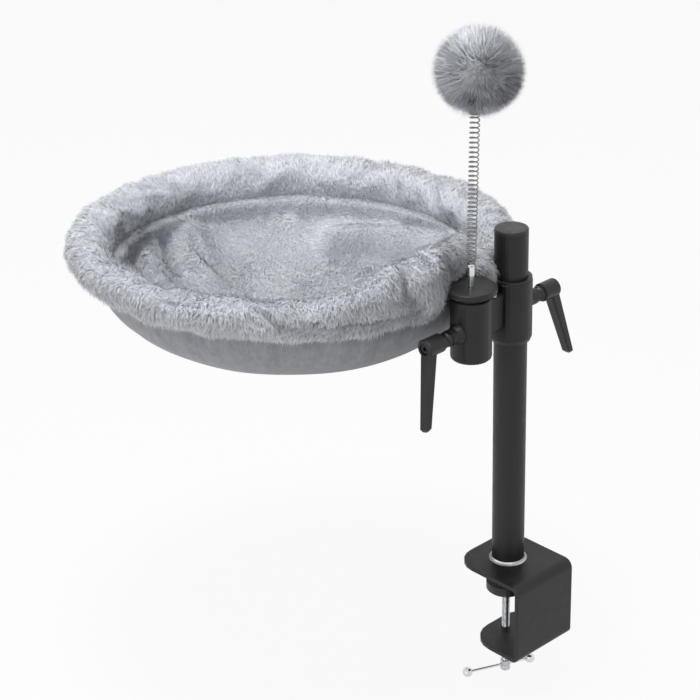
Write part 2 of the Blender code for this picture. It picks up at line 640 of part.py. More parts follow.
def make_hoop(bed):
    piece("hoop", skin(ring_stations(HOOP_TUBE), loop=True), BLACK_METAL, bed)


def hem_stations(turns):
    """Sections of the hem: cloth wrapped round the tube, with a narrow open seam below it."""
    seam = FULL_TURN / HEM_SEAM_SHARE
    outer = arc((0, 0), HEM_OUTSIDE, -QUARTER + seam, 3 * QUARTER - seam, HOOP_SIDES)
    inner = arc((0, 0), HEM_INSIDE, 3 * QUARTER - seam, -QUARTER + seam, HOOP_SIDES)
    return [[round_hoop(turn, out, HOOP_HEIGHT + up) for out, up in outer + inner]
            for turn in turns]


def bowl_profile(outside, inside, outer_top=BOWL_RIM, inner_top=BOWL_RIM, rises=None):
    """Profile of a shell between two half ellipses, from the axis out and back."""
    outer = arc((0, 0), 1, -QUARTER, 0, BOWL_RINGS)
    inner = outer if rises is None else [(math.cos(rise), math.sin(rise)) for rise in rises]
    profile = [(outside[0] * across, BOWL_RIM + outside[1] * up) for across, up in outer]
    profile[0] = (0, BOWL_RIM - outside[1])
    if outer_top > BOWL_RIM:
        profile += [(outside[0], outer_top), (inside[0], inner_top)]
    back = [(inside[0] * across, BOWL_RIM + inside[1] * up) for across, up in reversed(inner)]
    back[-1] = (0, BOWL_RIM - inside[1])
    return profile + back


def tilt(shape):
    """Lift the bowl's left side and drop its right, as its cover sits on the level hoop."""
    for vert in shape.verts:
        if vert.co.z < BOWL_RIM + FIT:
            vert.co.z += BOWL_RISE * vert.co.y / HOOP_RADIUS
    return shape


def beside_line(spot, line):
    """Distance from a point to a line of straight stretches, seen from above."""
    beside = []
    for start, end in zip(line, line[1:]):
        first, way = Vector(start), Vector(end) - Vector(start)
        share = min(max((spot - first).dot(way) / way.length_squared, 0), 1)
        beside.append((spot - first - share * way).length)
    return min(beside)


def fold_lining(shape):
    """Raise the lining's upper side along its main folds, before the bowl is tilted."""
    for vert in shape.verts:
        reach = math.hypot(vert.co.x, vert.co.y)
        depth = BOWL_RIM - vert.co.z
        if (reach / LINING_INSIDE[0]) ** 2 + (depth / LINING_INSIDE[1]) ** 2 > 1 + FIT:
            continue
        fade = 1 - smooth_share(reach, *FOLD_FADE)
        rises = [rise * math.exp(-(beside_line(vert.co.xy, line) / half) ** 2 / 2)
                 for rise, half, line in LINING_FOLDS]
        vert.co.z += fade * max(rises)
    return shape


def make_bowl(bed):
    piece("plush_bag", tilt(turned(bowl_profile(BAG_OUTSIDE, BAG_INSIDE), SOFT_STEPS)),
          UNDER_PLUSH, bed)
    sling = bowl_profile(SLING_OUTSIDE, SLING_INSIDE, SLING_TOP, SLING_TOP)
    piece("sling_mesh", tilt(turned(sling, SOFT_STEPS)), GREY_MESH, bed)
    lining = turned(bowl_profile(LINING_OUTSIDE, LINING_INSIDE, rises=LINING_RISES), SOFT_STEPS)
    piece("plush_lining", tilt(fold_lining(lining)), GREY_PLUSH, bed)
    for side, name in ((-1, "sling_tab_left"), (1, "sling_tab_right")):
        piece(name, tilt(tab_patch(side)), GREY_MESH, bed)


def tab_patch(side):
    """A hook-and-loop patch that lies on the mesh beside the pivot, facet on facet."""
    stations = []
    for step in TAB_STEPS:
        turn = FULL_TURN * step / SOFT_STEPS
        rises = [QUARTER * (count / BOWL_RINGS - 1) for count in TAB_RINGS]
        corners = [(TAB_OUTSIDE, rises[0]), (TAB_OUTSIDE, rises[1]), (TAB_INSIDE, rises[1]),
                   (TAB_INSIDE, rises[0])]
        stations.append([(-shell[0] * math.cos(rise) * math.cos(turn),
                          -side * shell[0] * math.cos(rise) * math.sin(turn),
                          BOWL_RIM + shell[1] * math.sin(rise)) for shell, rise in corners])
    return skin(stations)


def roll_section(turn):
    """C-shaped section of the plush roll: an oval with the hoop's bore and the sling's slot."""
    swell = min(smooth_share(turn, *ROLL_POST_SWELL), smooth_share(FULL_TURN - turn, *ROLL_FREE_SWELL))
    widths = {1: ROLL_OUT_NARROW + (ROLL_OUT_WIDE - ROLL_OUT_NARROW) * swell,
              -1: ROLL_IN_NARROW + (ROLL_IN_WIDE - ROLL_IN_NARROW) * swell}
    half = ROLL_HALF_LOW + (ROLL_HALF_HIGH - ROLL_HALF_LOW) * swell
    middle = ROLL_HEIGHT - BOWL_RISE * math.sin(turn)
    left, right = ROLL_SLOT
    start = -QUARTER - math.asin(-left / widths[-1])
    end = -QUARTER - math.asin(-right / widths[-1])
    outer = [(widths[1 if math.cos(angle) > 0 else -1] * math.cos(angle),
              middle + half * math.sin(angle))
             for angle in np.linspace(start, end - FULL_TURN, ROLL_POINTS)]
    bore_start = -QUARTER - math.asin(-right / ROLL_BORE)
    bore_end = -QUARTER - math.asin(-left / ROLL_BORE)
    bore = [(ROLL_BORE * math.cos(angle), HOOP_HEIGHT + ROLL_BORE * math.sin(angle))
            for angle in np.linspace(bore_start, bore_end + FULL_TURN, ROLL_BORE_POINTS)]
    return [round_hoop(turn, out, up) for out, up in outer + bore]


def make_roll(bed):
    turns = [FULL_TURN * step / SOFT_STEPS
             for step in range(COVER_GAP_STEPS, SOFT_STEPS - COVER_GAP_STEPS + 1)]
    piece("plush_rim", skin([roll_section(turn) for turn in turns]), GREY_PLUSH, bed)
    piece("sling_hem", skin(hem_stations(turns)), GREY_MESH, bed)


def spring_route():
    """Centre line of the spring, from the ferrule up to the plug, about its own axis."""
    route = []
    steps = SPRING_TURNS * SPRING_POINTS
    start = FERRULE_TOP + FIT + SPRING_RUN
    gain = (SPRING_PITCH_HIGH - SPRING_PITCH_LOW) / (2 * SPRING_TURNS)
    for step in range(steps + 1):
        turn = step / SPRING_POINTS
        reach = SPRING_NECK + (SPRING_RADIUS - SPRING_NECK) * smooth_share(turn, 0, SPRING_NECK_TURNS)
        height = start + SPRING_PITCH_LOW * turn + gain * turn * turn
        route.append(Vector((reach * math.cos(FULL_TURN * turn), reach * math.sin(FULL_TURN * turn),
                             height)))
    run = Vector((0, 0, SPRING_RUN))
    return [route[0] - run, *route, route[-1] + run]


def least_gap(route):
    """Smallest clear distance between points of the wire that lie over half a turn apart."""
    points = np.array([tuple(point) for point in route])
    apart = SPRING_POINTS // 2 + 1
    return min(float(np.linalg.norm(points[spot + apart:] - points[spot], axis=1).min())
               for spot in range(len(points) - apart)) - 2 * SPRING_WIRE


def make_spring(leaning):
    route = spring_route()
    curve = bpy.data.curves.new("toy_spring", "CURVE")
    curve.dimensions = "3D"
    curve.bevel_depth = SPRING_WIRE
    curve.bevel_resolution = 1
    curve.use_fill_caps = True
    wire = curve.splines.new("POLY")
    wire.points.add(len(route) - 1)
    for place, point in zip(wire.points, route):
        place.co = (*(point - Vector((0, 0, FERRULE_TOP))), 1)
    curve.materials.append(look("toy_spring", BRIGHT_STEEL))
    spring = bpy.data.objects.new("toy_spring", curve)
    bpy.context.scene.collection.objects.link(spring)
    spring.parent = leaning
    print("least gap in the spring, mm:", round(1000 * least_gap(route), 3))
    return route[-1].z


def make_toy(pivot_place):
    toy = empty("toy_axis", location=(*pivot_place, 0), rotation=(0, 0, TOY_DIRECTION))
    piece("toy_stem", rod(STEM_RADIUS, STEM_BASE, FERRULE_BASE - FIT, SMALL_STEPS), BRIGHT_STEEL,
          toy)
    piece("toy_ferrule", turned([
        (0, FERRULE_BASE), (FERRULE_RADIUS - FERRULE_EDGE, FERRULE_BASE),
        (FERRULE_RADIUS, FERRULE_BASE + FERRULE_EDGE), (FERRULE_RADIUS, FERRULE_TOP - FERRULE_EDGE),
        (FERRULE_RADIUS - FERRULE_EDGE, FERRULE_TOP), (0, FERRULE_TOP)], SMALL_STEPS),
        BRIGHT_STEEL, toy)
    leaning = empty("toy_lean", toy, (0, 0, FERRULE_TOP), (0, TOY_LEAN, 0))
    plug_base = make_spring(leaning) + FIT - FERRULE_TOP
    piece("toy_plug", rod(PLUG_RADIUS, plug_base, plug_base + PLUG_LENGTH, SMALL_STEPS),
          BLACK_PLASTIC, leaning)
    centre = (POMPOM_SHIFT, 0, POMPOM_HEIGHT - FERRULE_TOP)
    fluff = piece("pompom", ball(POMPOM_RADIUS, steps=POMPOM_STEPS), GREY_PLUSH, leaning, centre)
    recess = piece("plug_recess", rod(PLUG_RADIUS + FIT, 0, plug_base + PLUG_LENGTH + FIT,
                                      SMALL_STEPS), parent=leaning)
    combine(fluff, "DIFFERENCE", recess)


def main():
    clear_scene()
    make_clamp()
    make_post()
    screw_axis = empty("screw_axis", location=(0, SCREW_Y, 0), rotation=(0, 0, BAR_TURN))
    make_pad(screw_axis)
    make_screw(screw_axis)
    bracket_frame = empty("bracket_frame", rotation=(0, 0, BRACKET_TURN))
    make_casting(bracket_frame)
    post_lock = empty("post_lock_axis", bracket_frame, (0, 0, LOCK_HEIGHT),
                      (0, QUARTER, HALF_TURN + POST_LOCK_TURN))
    make_lock("post_lock", post_lock, BUSH_RADIUS, POST_LOCK_SWING)
    pivot_lock = empty("pivot_lock_axis", bracket_frame, (PIVOT_REACH, 0, LOCK_HEIGHT),
                       (0, QUARTER, PIVOT_LOCK_TURN))
    make_lock("pivot_lock", pivot_lock, PIN_GROOVE, PIVOT_LOCK_SWING)
    pivot_place = (PIVOT_REACH * math.cos(BRACKET_TURN), PIVOT_REACH * math.sin(BRACKET_TURN))
    swivel = empty("swivel", location=(*pivot_place, 0), rotation=(0, 0, BED_TURN))
    make_pivot(swivel)
    bed = empty("bed", swivel, (RING_REACH, 0, 0))
    make_hoop(bed)
    make_bowl(bed)
    make_roll(bed)
    make_toy(pivot_place)


main()
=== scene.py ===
from math import cos, pi, radians, sin

import bmesh
import bpy
import numpy as np
from mathutils import Matrix, Vector
from mathutils.kdtree import KDTree


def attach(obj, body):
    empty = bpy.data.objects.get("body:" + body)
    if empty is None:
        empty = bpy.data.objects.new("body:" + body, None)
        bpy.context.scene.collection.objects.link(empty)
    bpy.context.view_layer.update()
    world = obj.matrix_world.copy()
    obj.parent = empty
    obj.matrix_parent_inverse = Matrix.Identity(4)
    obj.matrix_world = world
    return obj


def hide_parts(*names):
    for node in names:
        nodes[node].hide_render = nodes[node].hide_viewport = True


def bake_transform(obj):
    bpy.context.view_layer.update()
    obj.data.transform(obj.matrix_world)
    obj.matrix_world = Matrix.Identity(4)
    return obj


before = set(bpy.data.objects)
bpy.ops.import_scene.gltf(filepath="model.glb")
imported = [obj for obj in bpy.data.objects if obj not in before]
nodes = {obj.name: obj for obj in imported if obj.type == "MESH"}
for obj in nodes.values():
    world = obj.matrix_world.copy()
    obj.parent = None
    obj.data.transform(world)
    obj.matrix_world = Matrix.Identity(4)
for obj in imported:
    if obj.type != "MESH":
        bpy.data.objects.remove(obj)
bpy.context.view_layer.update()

scene = bpy.context.scene
scene.view_settings.view_transform = "Standard"

# ---- Studio ----
# The bed hangs in plain soft light over a pale floor. A large key lamp hangs high above it, a
# weaker one stands low on the picture's left, and the room itself is pale.
CAMERA_PLACE = Vector((-1.23673, -1.12392, 1.01710))
CAMERA_RIGHT = Vector((0.72889, -0.68419, -0.02471))
CAMERA_UP = Vector((0.30698, 0.29435, 0.90505))
CAMERA_BACK = Vector((-0.61195, -0.66727, 0.42458))
CAMERA_LENS = 99.872
CAMERA_SENSOR = 36
FLOOR_HEIGHT = -0.1312
FLOOR_SIZE = 9.0
FLOOR_COLOUR = (0.62, 0.62, 0.62)
FLOOR_GLOW = 0.92
ROOM_COLOUR = (0.96, 0.98, 1.0)
ROOM_LIGHT = 0.30
WHITE = (1.0, 1.0, 1.0)
LAMPS = (("key_lamp", (-0.35, 0.25, 2.75), 1.0, 66.0),
         ("side_lamp", (-2.1, -0.35, 1.15), 0.9, 20.0))
LAMP_AIM = Vector((-0.06, 0.12, 0.20))


def add(name, data):
    """Put a new object in the scene."""
    thing = bpy.data.objects.new(name, data)
    scene.collection.objects.link(thing)
    return thing


camera_data = bpy.data.cameras.new("camera")
camera_data.lens = CAMERA_LENS
camera_data.sensor_width = CAMERA_SENSOR
camera = add("camera", camera_data)
turn = Matrix((CAMERA_RIGHT, CAMERA_UP, CAMERA_BACK)).transposed().to_4x4()
camera.matrix_world = Matrix.Translation(CAMERA_PLACE) @ turn
scene.camera = camera


def put(tree, kind, feeds=None, **settings):
    """Add a node, give it its settings, and feed its sockets with values or other sockets."""
    node = tree.nodes.new("ShaderNode" + kind)
    for name, value in settings.items():
        setattr(node, name, value)
    for name, value in (feeds or {}).items():
        if isinstance(value, bpy.types.NodeSocket):
            tree.links.new(value, node.inputs[name])
        else:
            node.inputs[name].default_value = value
    return node


def seen_plainly(tree):
    """1 for rays from the camera, from a mirror or through glass, which see the plain backdrop."""
    rays = put(tree, "LightPath")
    first = put(tree, "Math", {0: rays.outputs["Is Camera Ray"], 1: rays.outputs["Is Glossy Ray"]},
                operation="MAXIMUM")
    return put(tree, "Math", {0: first.outputs[0], 1: rays.outputs["Is Transmission Ray"]},
               operation="MAXIMUM").outputs[0]


room = bpy.data.worlds.new("room")
room.use_nodes = True
scene.world = room
tree = room.node_tree
tree.nodes.clear()
dim = put(tree, "Background", {"Color": (*ROOM_COLOUR, 1), "Strength": ROOM_LIGHT})
plain = put(tree, "Background", {"Color": (*WHITE, 1), "Strength": 1.0})
mixed = put(tree, "MixShader", {0: seen_plainly(tree), 1: dim.outputs[0], 2: plain.outputs[0]})
put(tree, "OutputWorld", {"Surface": mixed.outputs[0]})

for name, place, size, power in LAMPS:
    lamp_data = bpy.data.lights.new(name, "AREA")
    lamp_data.shape = "DISK"
    lamp_data.size = size
    lamp_data.energy = power
    lamp = add(name, lamp_data)
    lamp.location = place
    lamp.rotation_euler = (LAMP_AIM - Vector(place)).to_track_quat("-Z", "Y").to_euler()


def finish(name, colour, roughness, metallic=0.0, **sockets):
    """Start a material from the plain values of its shader; returns it, its tree and its shader."""
    material = bpy.data.materials.new(name)
    material.use_nodes = True
    shader = material.node_tree.nodes["Principled BSDF"]
    shader.inputs["Base Color"].default_value = (*colour, 1)
    shader.inputs["Roughness"].default_value = roughness
    shader.inputs["Metallic"].default_value = metallic
    for socket, value in sockets.items():
        shader.inputs[socket.replace("_", " ")].default_value = value
    return material, material.node_tree, shader


def mesh_piece(name, points, faces, material, body=None):
    """Make a mesh object from arrays of points and faces, and let it ride on its body."""
    mesh = bpy.data.meshes.new(name)
    mesh.from_pydata([tuple(point) for point in points], [], [tuple(face) for face in faces])
    mesh.materials.append(material)
    mesh.shade_smooth()
    made = add(name, mesh)
    if body:
        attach(made, body)
    return made


floor_finish, tree, shader = finish("floor_finish", FLOOR_COLOUR, 0.9)
glow = put(tree, "Emission", {"Color": (*WHITE, 1), "Strength": 1.0})
share = put(tree, "Math", {0: seen_plainly(tree), 1: FLOOR_GLOW}, operation="MULTIPLY")
mixed = put(tree, "MixShader", {0: share.outputs[0], 1: shader.outputs[0], 2: glow.outputs[0]})
tree.links.new(mixed.outputs[0], tree.nodes["Material Output"].inputs["Surface"])
half = FLOOR_SIZE / 2
floor = mesh_piece("floor", [(-half, -half, FLOOR_HEIGHT), (half, -half, FLOOR_HEIGHT),
                             (half, half, FLOOR_HEIGHT), (-half, half, FLOOR_HEIGHT)],
                   [(0, 1, 2, 3)], floor_finish)


# ---- Clamp bracket and post ----
# One bent steel plate with a tube welded on it, both powder coated black. The coat has a fine
# orange peel and a little dust; it is a shade thinner and glossier on the bends.
COAT_COLOUR = (0.0055, 0.0058, 0.0062)
COAT_DUST = (0.0095, 0.0098, 0.0105)
COAT_ROUGH = (0.40, 0.52)
COAT_PEEL = (0.0011, 0.00005)
DUST_SIZE = 0.012


def place_of(tree):
    return put(tree, "TexCoord").outputs["Object"]


def noise(tree, size, detail=2.0, roughness=0.5, place=None):
    """Soft noise whose lumps are about the given size across, in metres."""
    return put(tree, "TexNoise", {"Vector": place or place_of(tree), "Scale": 1 / size,
                                  "Detail": detail, "Roughness": roughness}).outputs["Fac"]


def between(tree, value, low, high):
    """Spread a noise value over the range from low to high."""
    return put(tree, "MapRange", {"Value": value, "From Min": 0.3, "From Max": 0.7,
                                  "To Min": low, "To Max": high}).outputs["Result"]


def tones(tree, value, *stops):
    """Colours along a value, from (place, colour) stops."""
    node = put(tree, "ValToRGB", {"Fac": value})
    marks = node.color_ramp.elements
    while len(marks) < len(stops):
        marks.new(0.5)
    for mark, (spot, colour) in zip(marks, stops):
        mark.position = spot
        mark.color = (*colour, 1)
    return node.outputs["Color"]


def tint(tree, shader, value, *stops):
    """Colour a shader along a value."""
    tree.links.new(tones(tree, value, *stops), shader.inputs["Base Color"])


def rough_up(tree, shader, height, depth):
    """Raise the surface by a height value, up to depth in metres."""
    bump = put(tree, "Bump", {"Height": height, "Distance": depth, "Strength": 1.0})
    tree.links.new(bump.outputs["Normal"], shader.inputs["Normal"])


def coated(name, colour, dust, rough, peel):
    """A black coat on metal: orange peel, a breath of dust, and a gloss that varies a little."""
    material, tree, shader = finish(name, colour, rough[0], Specular_IOR_Level=0.42)
    patches = noise(tree, DUST_SIZE, 5.0, 0.62)
    tint(tree, shader, patches, (0.42, colour), (0.72, dust))
    tree.links.new(between(tree, patches, *rough), shader.inputs["Roughness"])
    rough_up(tree, shader, noise(tree, peel[0], 1.5), peel[1])
    return material


def dress(material, *names):
    """Give CAD nodes their finish, in every slot that they have."""
    for name in names:
        mesh = nodes[name].data
        if not mesh.materials:
            mesh.materials.append(material)
        for spot in range(len(mesh.materials)):
            mesh.materials[spot] = material


powder_coat = coated("powder_coat", COAT_COLOUR, COAT_DUST, COAT_ROUGH, COAT_PEEL)
dress(powder_coat, "clamp_bracket", "post_tube")

# ---- Weld bead ----
# The bead round the post's foot is bare, brushed clean after welding, with the welder's fine
# ripples along it and faint straw and blue tints beside them.
WELD_COLOUR = (0.50, 0.50, 0.51)
WELD_TINT = (0.42, 0.38, 0.33)
WELD_RIPPLES = 95.0
WELD_RIPPLE_DEPTH = 0.0001
WELD_TINT_SIZE = 0.006
weld_finish, tree, shader = finish("weld_finish", WELD_COLOUR, 0.32, 1.0)
heat = noise(tree, WELD_TINT_SIZE, 3.0)
tint(tree, shader, heat, (0.35, WELD_TINT), (0.6, WELD_COLOUR))
ripple = put(tree, "TexGradient", {"Vector": place_of(tree)}, gradient_type="RADIAL").outputs["Fac"]
waves = put(tree, "Math", {0: ripple, 1: WELD_RIPPLES * 2 * pi}, operation="MULTIPLY")
waves = put(tree, "Math", {0: waves.outputs[0]}, operation="SINE")
rough_up(tree, shader, waves.outputs[0], WELD_RIPPLE_DEPTH)
dress(weld_finish, "post_weld")

# ---- Post cap, pad, bush, washer and plug ----
# Injection moulded black nylon: the cap in the post's top, the pad's cup, the bush that the sleeve
# slides on, the washer under the disc and the plug in the pompom. A fine grain with rub marks.
PLASTIC_COLOUR = (0.013, 0.013, 0.014)
PLASTIC_WORN = (0.030, 0.030, 0.032)
THRUST_COLOUR = (0.010, 0.010, 0.011)
RUB_SIZE = 0.009
GRAIN_DEPTH = 0.00004
NYLON_GRAIN = 0.0007
THRUST_GRAIN = 0.0005


def moulded(name, colour, worn, roughness, grain_size):
    """Moulded plastic with a fine mould grain and slightly shiny rubbed spots."""
    material, tree, shader = finish(name, colour, roughness, Specular_IOR_Level=0.45)
    rubbed = noise(tree, RUB_SIZE, 4.0, 0.6)
    tint(tree, shader, rubbed, (0.45, colour), (0.75, worn))
    tree.links.new(between(tree, rubbed, roughness + 0.05, roughness - 0.07),
                   shader.inputs["Roughness"])
    rough_up(tree, shader, noise(tree, grain_size, 2.0), GRAIN_DEPTH)
    return material


moulded_nylon = moulded("moulded_nylon", PLASTIC_COLOUR, PLASTIC_WORN, 0.46, NYLON_GRAIN)
dress(moulded_nylon, "post_cap", "clamp_pad", "post_bush", "toy_plug")
thrust_nylon = moulded("thrust_nylon", THRUST_COLOUR, PLASTIC_WORN, 0.55, THRUST_GRAIN)
dress(thrust_nylon, "thrust_washer")

# ---- Pad rubber ----
# The tread on the pad is soft black rubber, dull, with talc left in its pores.
RUBBER_COLOUR = (0.014, 0.014, 0.014)
RUBBER_TALC = (0.048, 0.047, 0.045)
PORE_SIZE = 0.0015
PORE_DEPTH = 0.00012
rubber_finish, tree, shader = finish("rubber_finish", RUBBER_COLOUR, 0.82, Specular_IOR_Level=0.3)
pores = noise(tree, PORE_SIZE, 6.0, 0.7)
tint(tree, shader, pores, (0.5, RUBBER_COLOUR), (0.8, RUBBER_TALC))
rough_up(tree, shader, pores, PORE_DEPTH)
dress(rubber_finish, "pad_rubber")

# ---- Clamp screw ----
# A zinc plated screw, M8 by 1.25, with a plain drilled head for the tommy bar. The thread is cut
# for real: its flanks run round the core in one helix.
SCREW_Y = 0.002
SCREW_TOP = -0.0246
THREAD_END = -0.1175
SCREW_HEAD_FACE = -0.1297
SCREW_HEAD_RADIUS = 0.0050
THREAD_CREST = 0.0040
THREAD_DEPTH = 0.00072
THREAD_PITCH = 0.00125
THREAD_STEPS = 10
THREAD_ROUND = 36
THREAD_RUNOUT = 0.0016
THREAD_FLANK = (1.25, 0.12)
THREAD_TIP_SHARE = 0.6
SCREW_HEAD_EDGE = 0.0007
SCREW_HEAD_SEAT = 0.0002
DRILL_REACH = 0.02
TURNED_ROUND = 48
MERGE_WITHIN = 1e-6
SHARP_ANGLE = radians(35)
PLATE_SPOTS = 0.004
PLATE_MARKS = (0.0006, 0.00002)
BAR_HEIGHT = -0.1236
BAR_HOLE = 0.0019
BAR_TURN = radians(-23.6)
ZINC_COLOUR = (0.60, 0.61, 0.63)
ZINC_DULL = (0.40, 0.41, 0.43)


def grid_faces(rows, around, closed=True):
    """Quads between rows of points, each row running round to its own start if closed."""
    row = np.arange(rows - 1)[:, None] * around
    spot = np.arange(around if closed else around - 1)[None, :]
    after = (spot + 1) % around
    quads = np.stack([row + spot, row + after, row + around + after, row + around + spot], -1)
    return quads.reshape(-1, 4)


def capped_faces(rows, around, turned=1):
    """The quads of a tube and a face over each end; turned is -1 if its rows run backwards."""
    faces = [tuple(face) for face in grid_faces(rows, around)[:, ::turned]]
    first, last = range(around), range((rows - 1) * around, rows * around)
    return faces + [tuple(first)[::-turned], tuple(last)[::turned]]


def merged(thing, within):
    """Join points that coincide, and turn all faces outward."""
    shape = bmesh.new()
    shape.from_mesh(thing.data)
    bmesh.ops.remove_doubles(shape, verts=shape.verts, dist=within)
    bmesh.ops.recalc_face_normals(shape, faces=shape.faces)
    shape.to_mesh(thing.data)
    shape.free()


def plated(name, colour, dull, roughness, streak=(1.0, 1.0, 1.0)):
    """Plated or turned steel: fine marks along one way and slightly dull patches."""
    material, tree, shader = finish(name, colour, roughness, 1.0)
    spots = noise(tree, PLATE_SPOTS, 5.0, 0.65)
    tint(tree, shader, spots, (0.35, dull), (0.6, colour))
    tree.links.new(between(tree, spots, roughness + 0.12, roughness), shader.inputs["Roughness"])
    along = put(tree, "Mapping", {"Vector": place_of(tree), "Scale": streak}).outputs["Vector"]
    rough_up(tree, shader, noise(tree, PLATE_MARKS[0], 2.0, place=along), PLATE_MARKS[1])
    return material


def turned_piece(name, profile, centre, material, body):
    """Turn a list of (radius, height) points about an upright axis; the ends close on the axis."""
    turns = np.linspace(0, 2 * pi, TURNED_ROUND, endpoint=False)
    points = [(centre[0] + radius * cos(turn), centre[1] + radius * sin(turn), height)
              for radius, height in profile for turn in turns]
    faces = list(grid_faces(len(profile), TURNED_ROUND))
    made = mesh_piece(name, points, faces, material, body)
    merged(made, MERGE_WITHIN)
    return made


zinc_plate = plated("zinc_plate", ZINC_COLOUR, ZINC_DULL, 0.28)
rings = int((SCREW_TOP - THREAD_END) / THREAD_PITCH * THREAD_STEPS) + 1
heights = np.linspace(SCREW_TOP, THREAD_END, rings)
turns = np.linspace(0, 2 * pi, THREAD_ROUND, endpoint=False)
phase = (heights[:, None] / THREAD_PITCH - turns[None, :] / (2 * pi)) % 1.0
flank = np.clip(np.abs(phase * 2 - 1) * THREAD_FLANK[0] - THREAD_FLANK[1], 0, 1)
run = np.minimum(SCREW_TOP - heights, heights - THREAD_END)[:, None]
full = np.clip(run / THREAD_RUNOUT, 0, 1)
upper = (heights > (SCREW_TOP + THREAD_END) / 2)[:, None]
reach = (THREAD_CREST - THREAD_DEPTH * full * flank
         - THREAD_DEPTH * THREAD_TIP_SHARE * (1 - full) * upper)
points = np.stack([reach * np.cos(turns), SCREW_Y + reach * np.sin(turns),
                   np.repeat(heights[:, None], THREAD_ROUND, 1)], -1).reshape(-1, 3)
faces = capped_faces(rings, THREAD_ROUND, -1)
screw_thread = mesh_piece("screw_thread", points, faces, zinc_plate, "screw")
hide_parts("clamp_screw")

seat, rim_in = THREAD_END - SCREW_HEAD_SEAT, SCREW_HEAD_RADIUS - SCREW_HEAD_EDGE
screw_head = turned_piece("screw_head", [
    (0, seat), (rim_in, seat), (SCREW_HEAD_RADIUS, THREAD_END - SCREW_HEAD_EDGE),
    (SCREW_HEAD_RADIUS, SCREW_HEAD_FACE + SCREW_HEAD_EDGE), (rim_in, SCREW_HEAD_FACE),
    (0, SCREW_HEAD_FACE)], (0, SCREW_Y), zinc_plate, "screw")
drill = turned_piece("bar_drill", [(0, -DRILL_REACH), (BAR_HOLE, -DRILL_REACH),
                                   (BAR_HOLE, DRILL_REACH), (0, DRILL_REACH)],
                     (0, 0), zinc_plate, None)
drill.matrix_world = (Matrix.Translation((0, SCREW_Y, BAR_HEIGHT))
                      @ Matrix.Rotation(BAR_TURN, 4, "Z") @ Matrix.Rotation(pi / 2, 4, "Y"))


def drilled(target, cutter):
    """Cut the cutter out of the target for good, and take the cutter away."""
    step = target.modifiers.new("drilled", "BOOLEAN")
    step.object = cutter
    bpy.context.view_layer.update()
    shown = target.evaluated_get(bpy.context.evaluated_depsgraph_get())
    cut = bpy.data.meshes.new_from_object(shown)
    target.modifiers.clear()
    target.data = cut
    cut.shade_smooth()
    cut.set_sharp_from_angle(angle=SHARP_ANGLE)
    bpy.data.objects.remove(cutter)


drilled(screw_head, drill)

# ---- Tommy bar ----
# A thin chromed bar that slides through the screw's head, with a pressed-on ball at each end.
CHROME_COLOUR = (0.72, 0.72, 0.74)
CHROME_DULL = (0.62, 0.62, 0.64)
chrome = plated("chrome", CHROME_COLOUR, CHROME_DULL, 0.10)
dress(chrome, "tommy_bar", "tommy_ball_left", "tommy_ball_right")

# ---- Double sleeve casting ----
# An aluminium die casting, coated black after machining: the sleeve on the post, the web and the
# blind socket of the bed's pin. The cast skin shows through the coat as a coarser, softer grain.
CAST_COLOUR = (0.0050, 0.0052, 0.0056)
CAST_DUST = (0.0085, 0.0088, 0.0092)
CAST_ROUGH = (0.36, 0.50)
CAST_PEEL = (0.0019, 0.00007)
cast_coat = coated("cast_coat", CAST_COLOUR, CAST_DUST, CAST_ROUGH, CAST_PEEL)
dress(cast_coat, "double_sleeve")

# ---- Clamping levers ----
# Each lever is a coated zinc casting that lifts off its toothed steel stud against a spring; a
# screw in its hub holds it, and the stud presses a small brass shoe on the pin or the bush.
LEVER_COLOUR = (0.006, 0.006, 0.0065)
LEVER_ROUGH = (0.30, 0.44)
LEVER_PEEL = (0.0012, 0.00004)
BLACK_STEEL = ((0.055, 0.055, 0.058), (0.03, 0.03, 0.032))
BRASS = ((0.62, 0.46, 0.20), (0.45, 0.32, 0.14))
lever_coat = coated("lever_coat", LEVER_COLOUR, CAST_DUST, LEVER_ROUGH, LEVER_PEEL)
black_steel = plated("black_steel", *BLACK_STEEL, 0.34)
brass = plated("brass", *BRASS, 0.32)
dress(lever_coat, "post_lock_handle", "pivot_lock_handle")
dress(black_steel, "post_lock_stud", "pivot_lock_stud", "post_lock_screw", "pivot_lock_screw")
dress(brass, "post_lock_shoe", "pivot_lock_shoe")

# ---- Swivel ----
# The bed's turned steel pin stands in the socket under a coated disc, which the hoop is welded
# to; a small zinc plated bolt sits under the disc's edge.
PIN_STEEL = ((0.56, 0.56, 0.58), (0.42, 0.42, 0.44))
PIN_STREAK = (1, 1, 0.05)
pin_steel = plated("pin_steel", *PIN_STEEL, 0.24, PIN_STREAK)
dress(pin_steel, "pivot_pin")
dress(powder_coat, "pivot_disc")
dress(zinc_plate, "stop_bolt")

# ---- Hoop ----
# A black coated steel tube bent into one ring and welded to the disc. The roll hides nearly all
# of it.
dress(powder_coat, "hoop")

# ---- Mesh sling ----
# Grey polyester net, one round cut stretched into a dish, bound to the hoop by a stitched hem
# and held to the plush by two hook-and-loop patches. The plush covers all of it.
BED_CENTRE = np.array((-0.085039, 0.212436))
BED_TURN = radians(96.2)
BED_AWAY = np.array((cos(BED_TURN), sin(BED_TURN)))
BED_SIDE = np.array((-sin(BED_TURN), cos(BED_TURN)))
HOOP_RADIUS = 0.1965
HOOP_HEIGHT = 0.316
BOWL_RIM = 0.2925
BOWL_RISE = 0.005
SLING_SIZE = (0.1910, 0.0879)
SLING_TOP = 0.3094
NET_COLOUR = (0.42, 0.43, 0.45)
NET_SHADE = (0.10, 0.10, 0.11)
NET_PITCH = 0.0021
NET_DEPTH = 0.0004
SLING_ROWS = 26
SLING_ROUND = 120


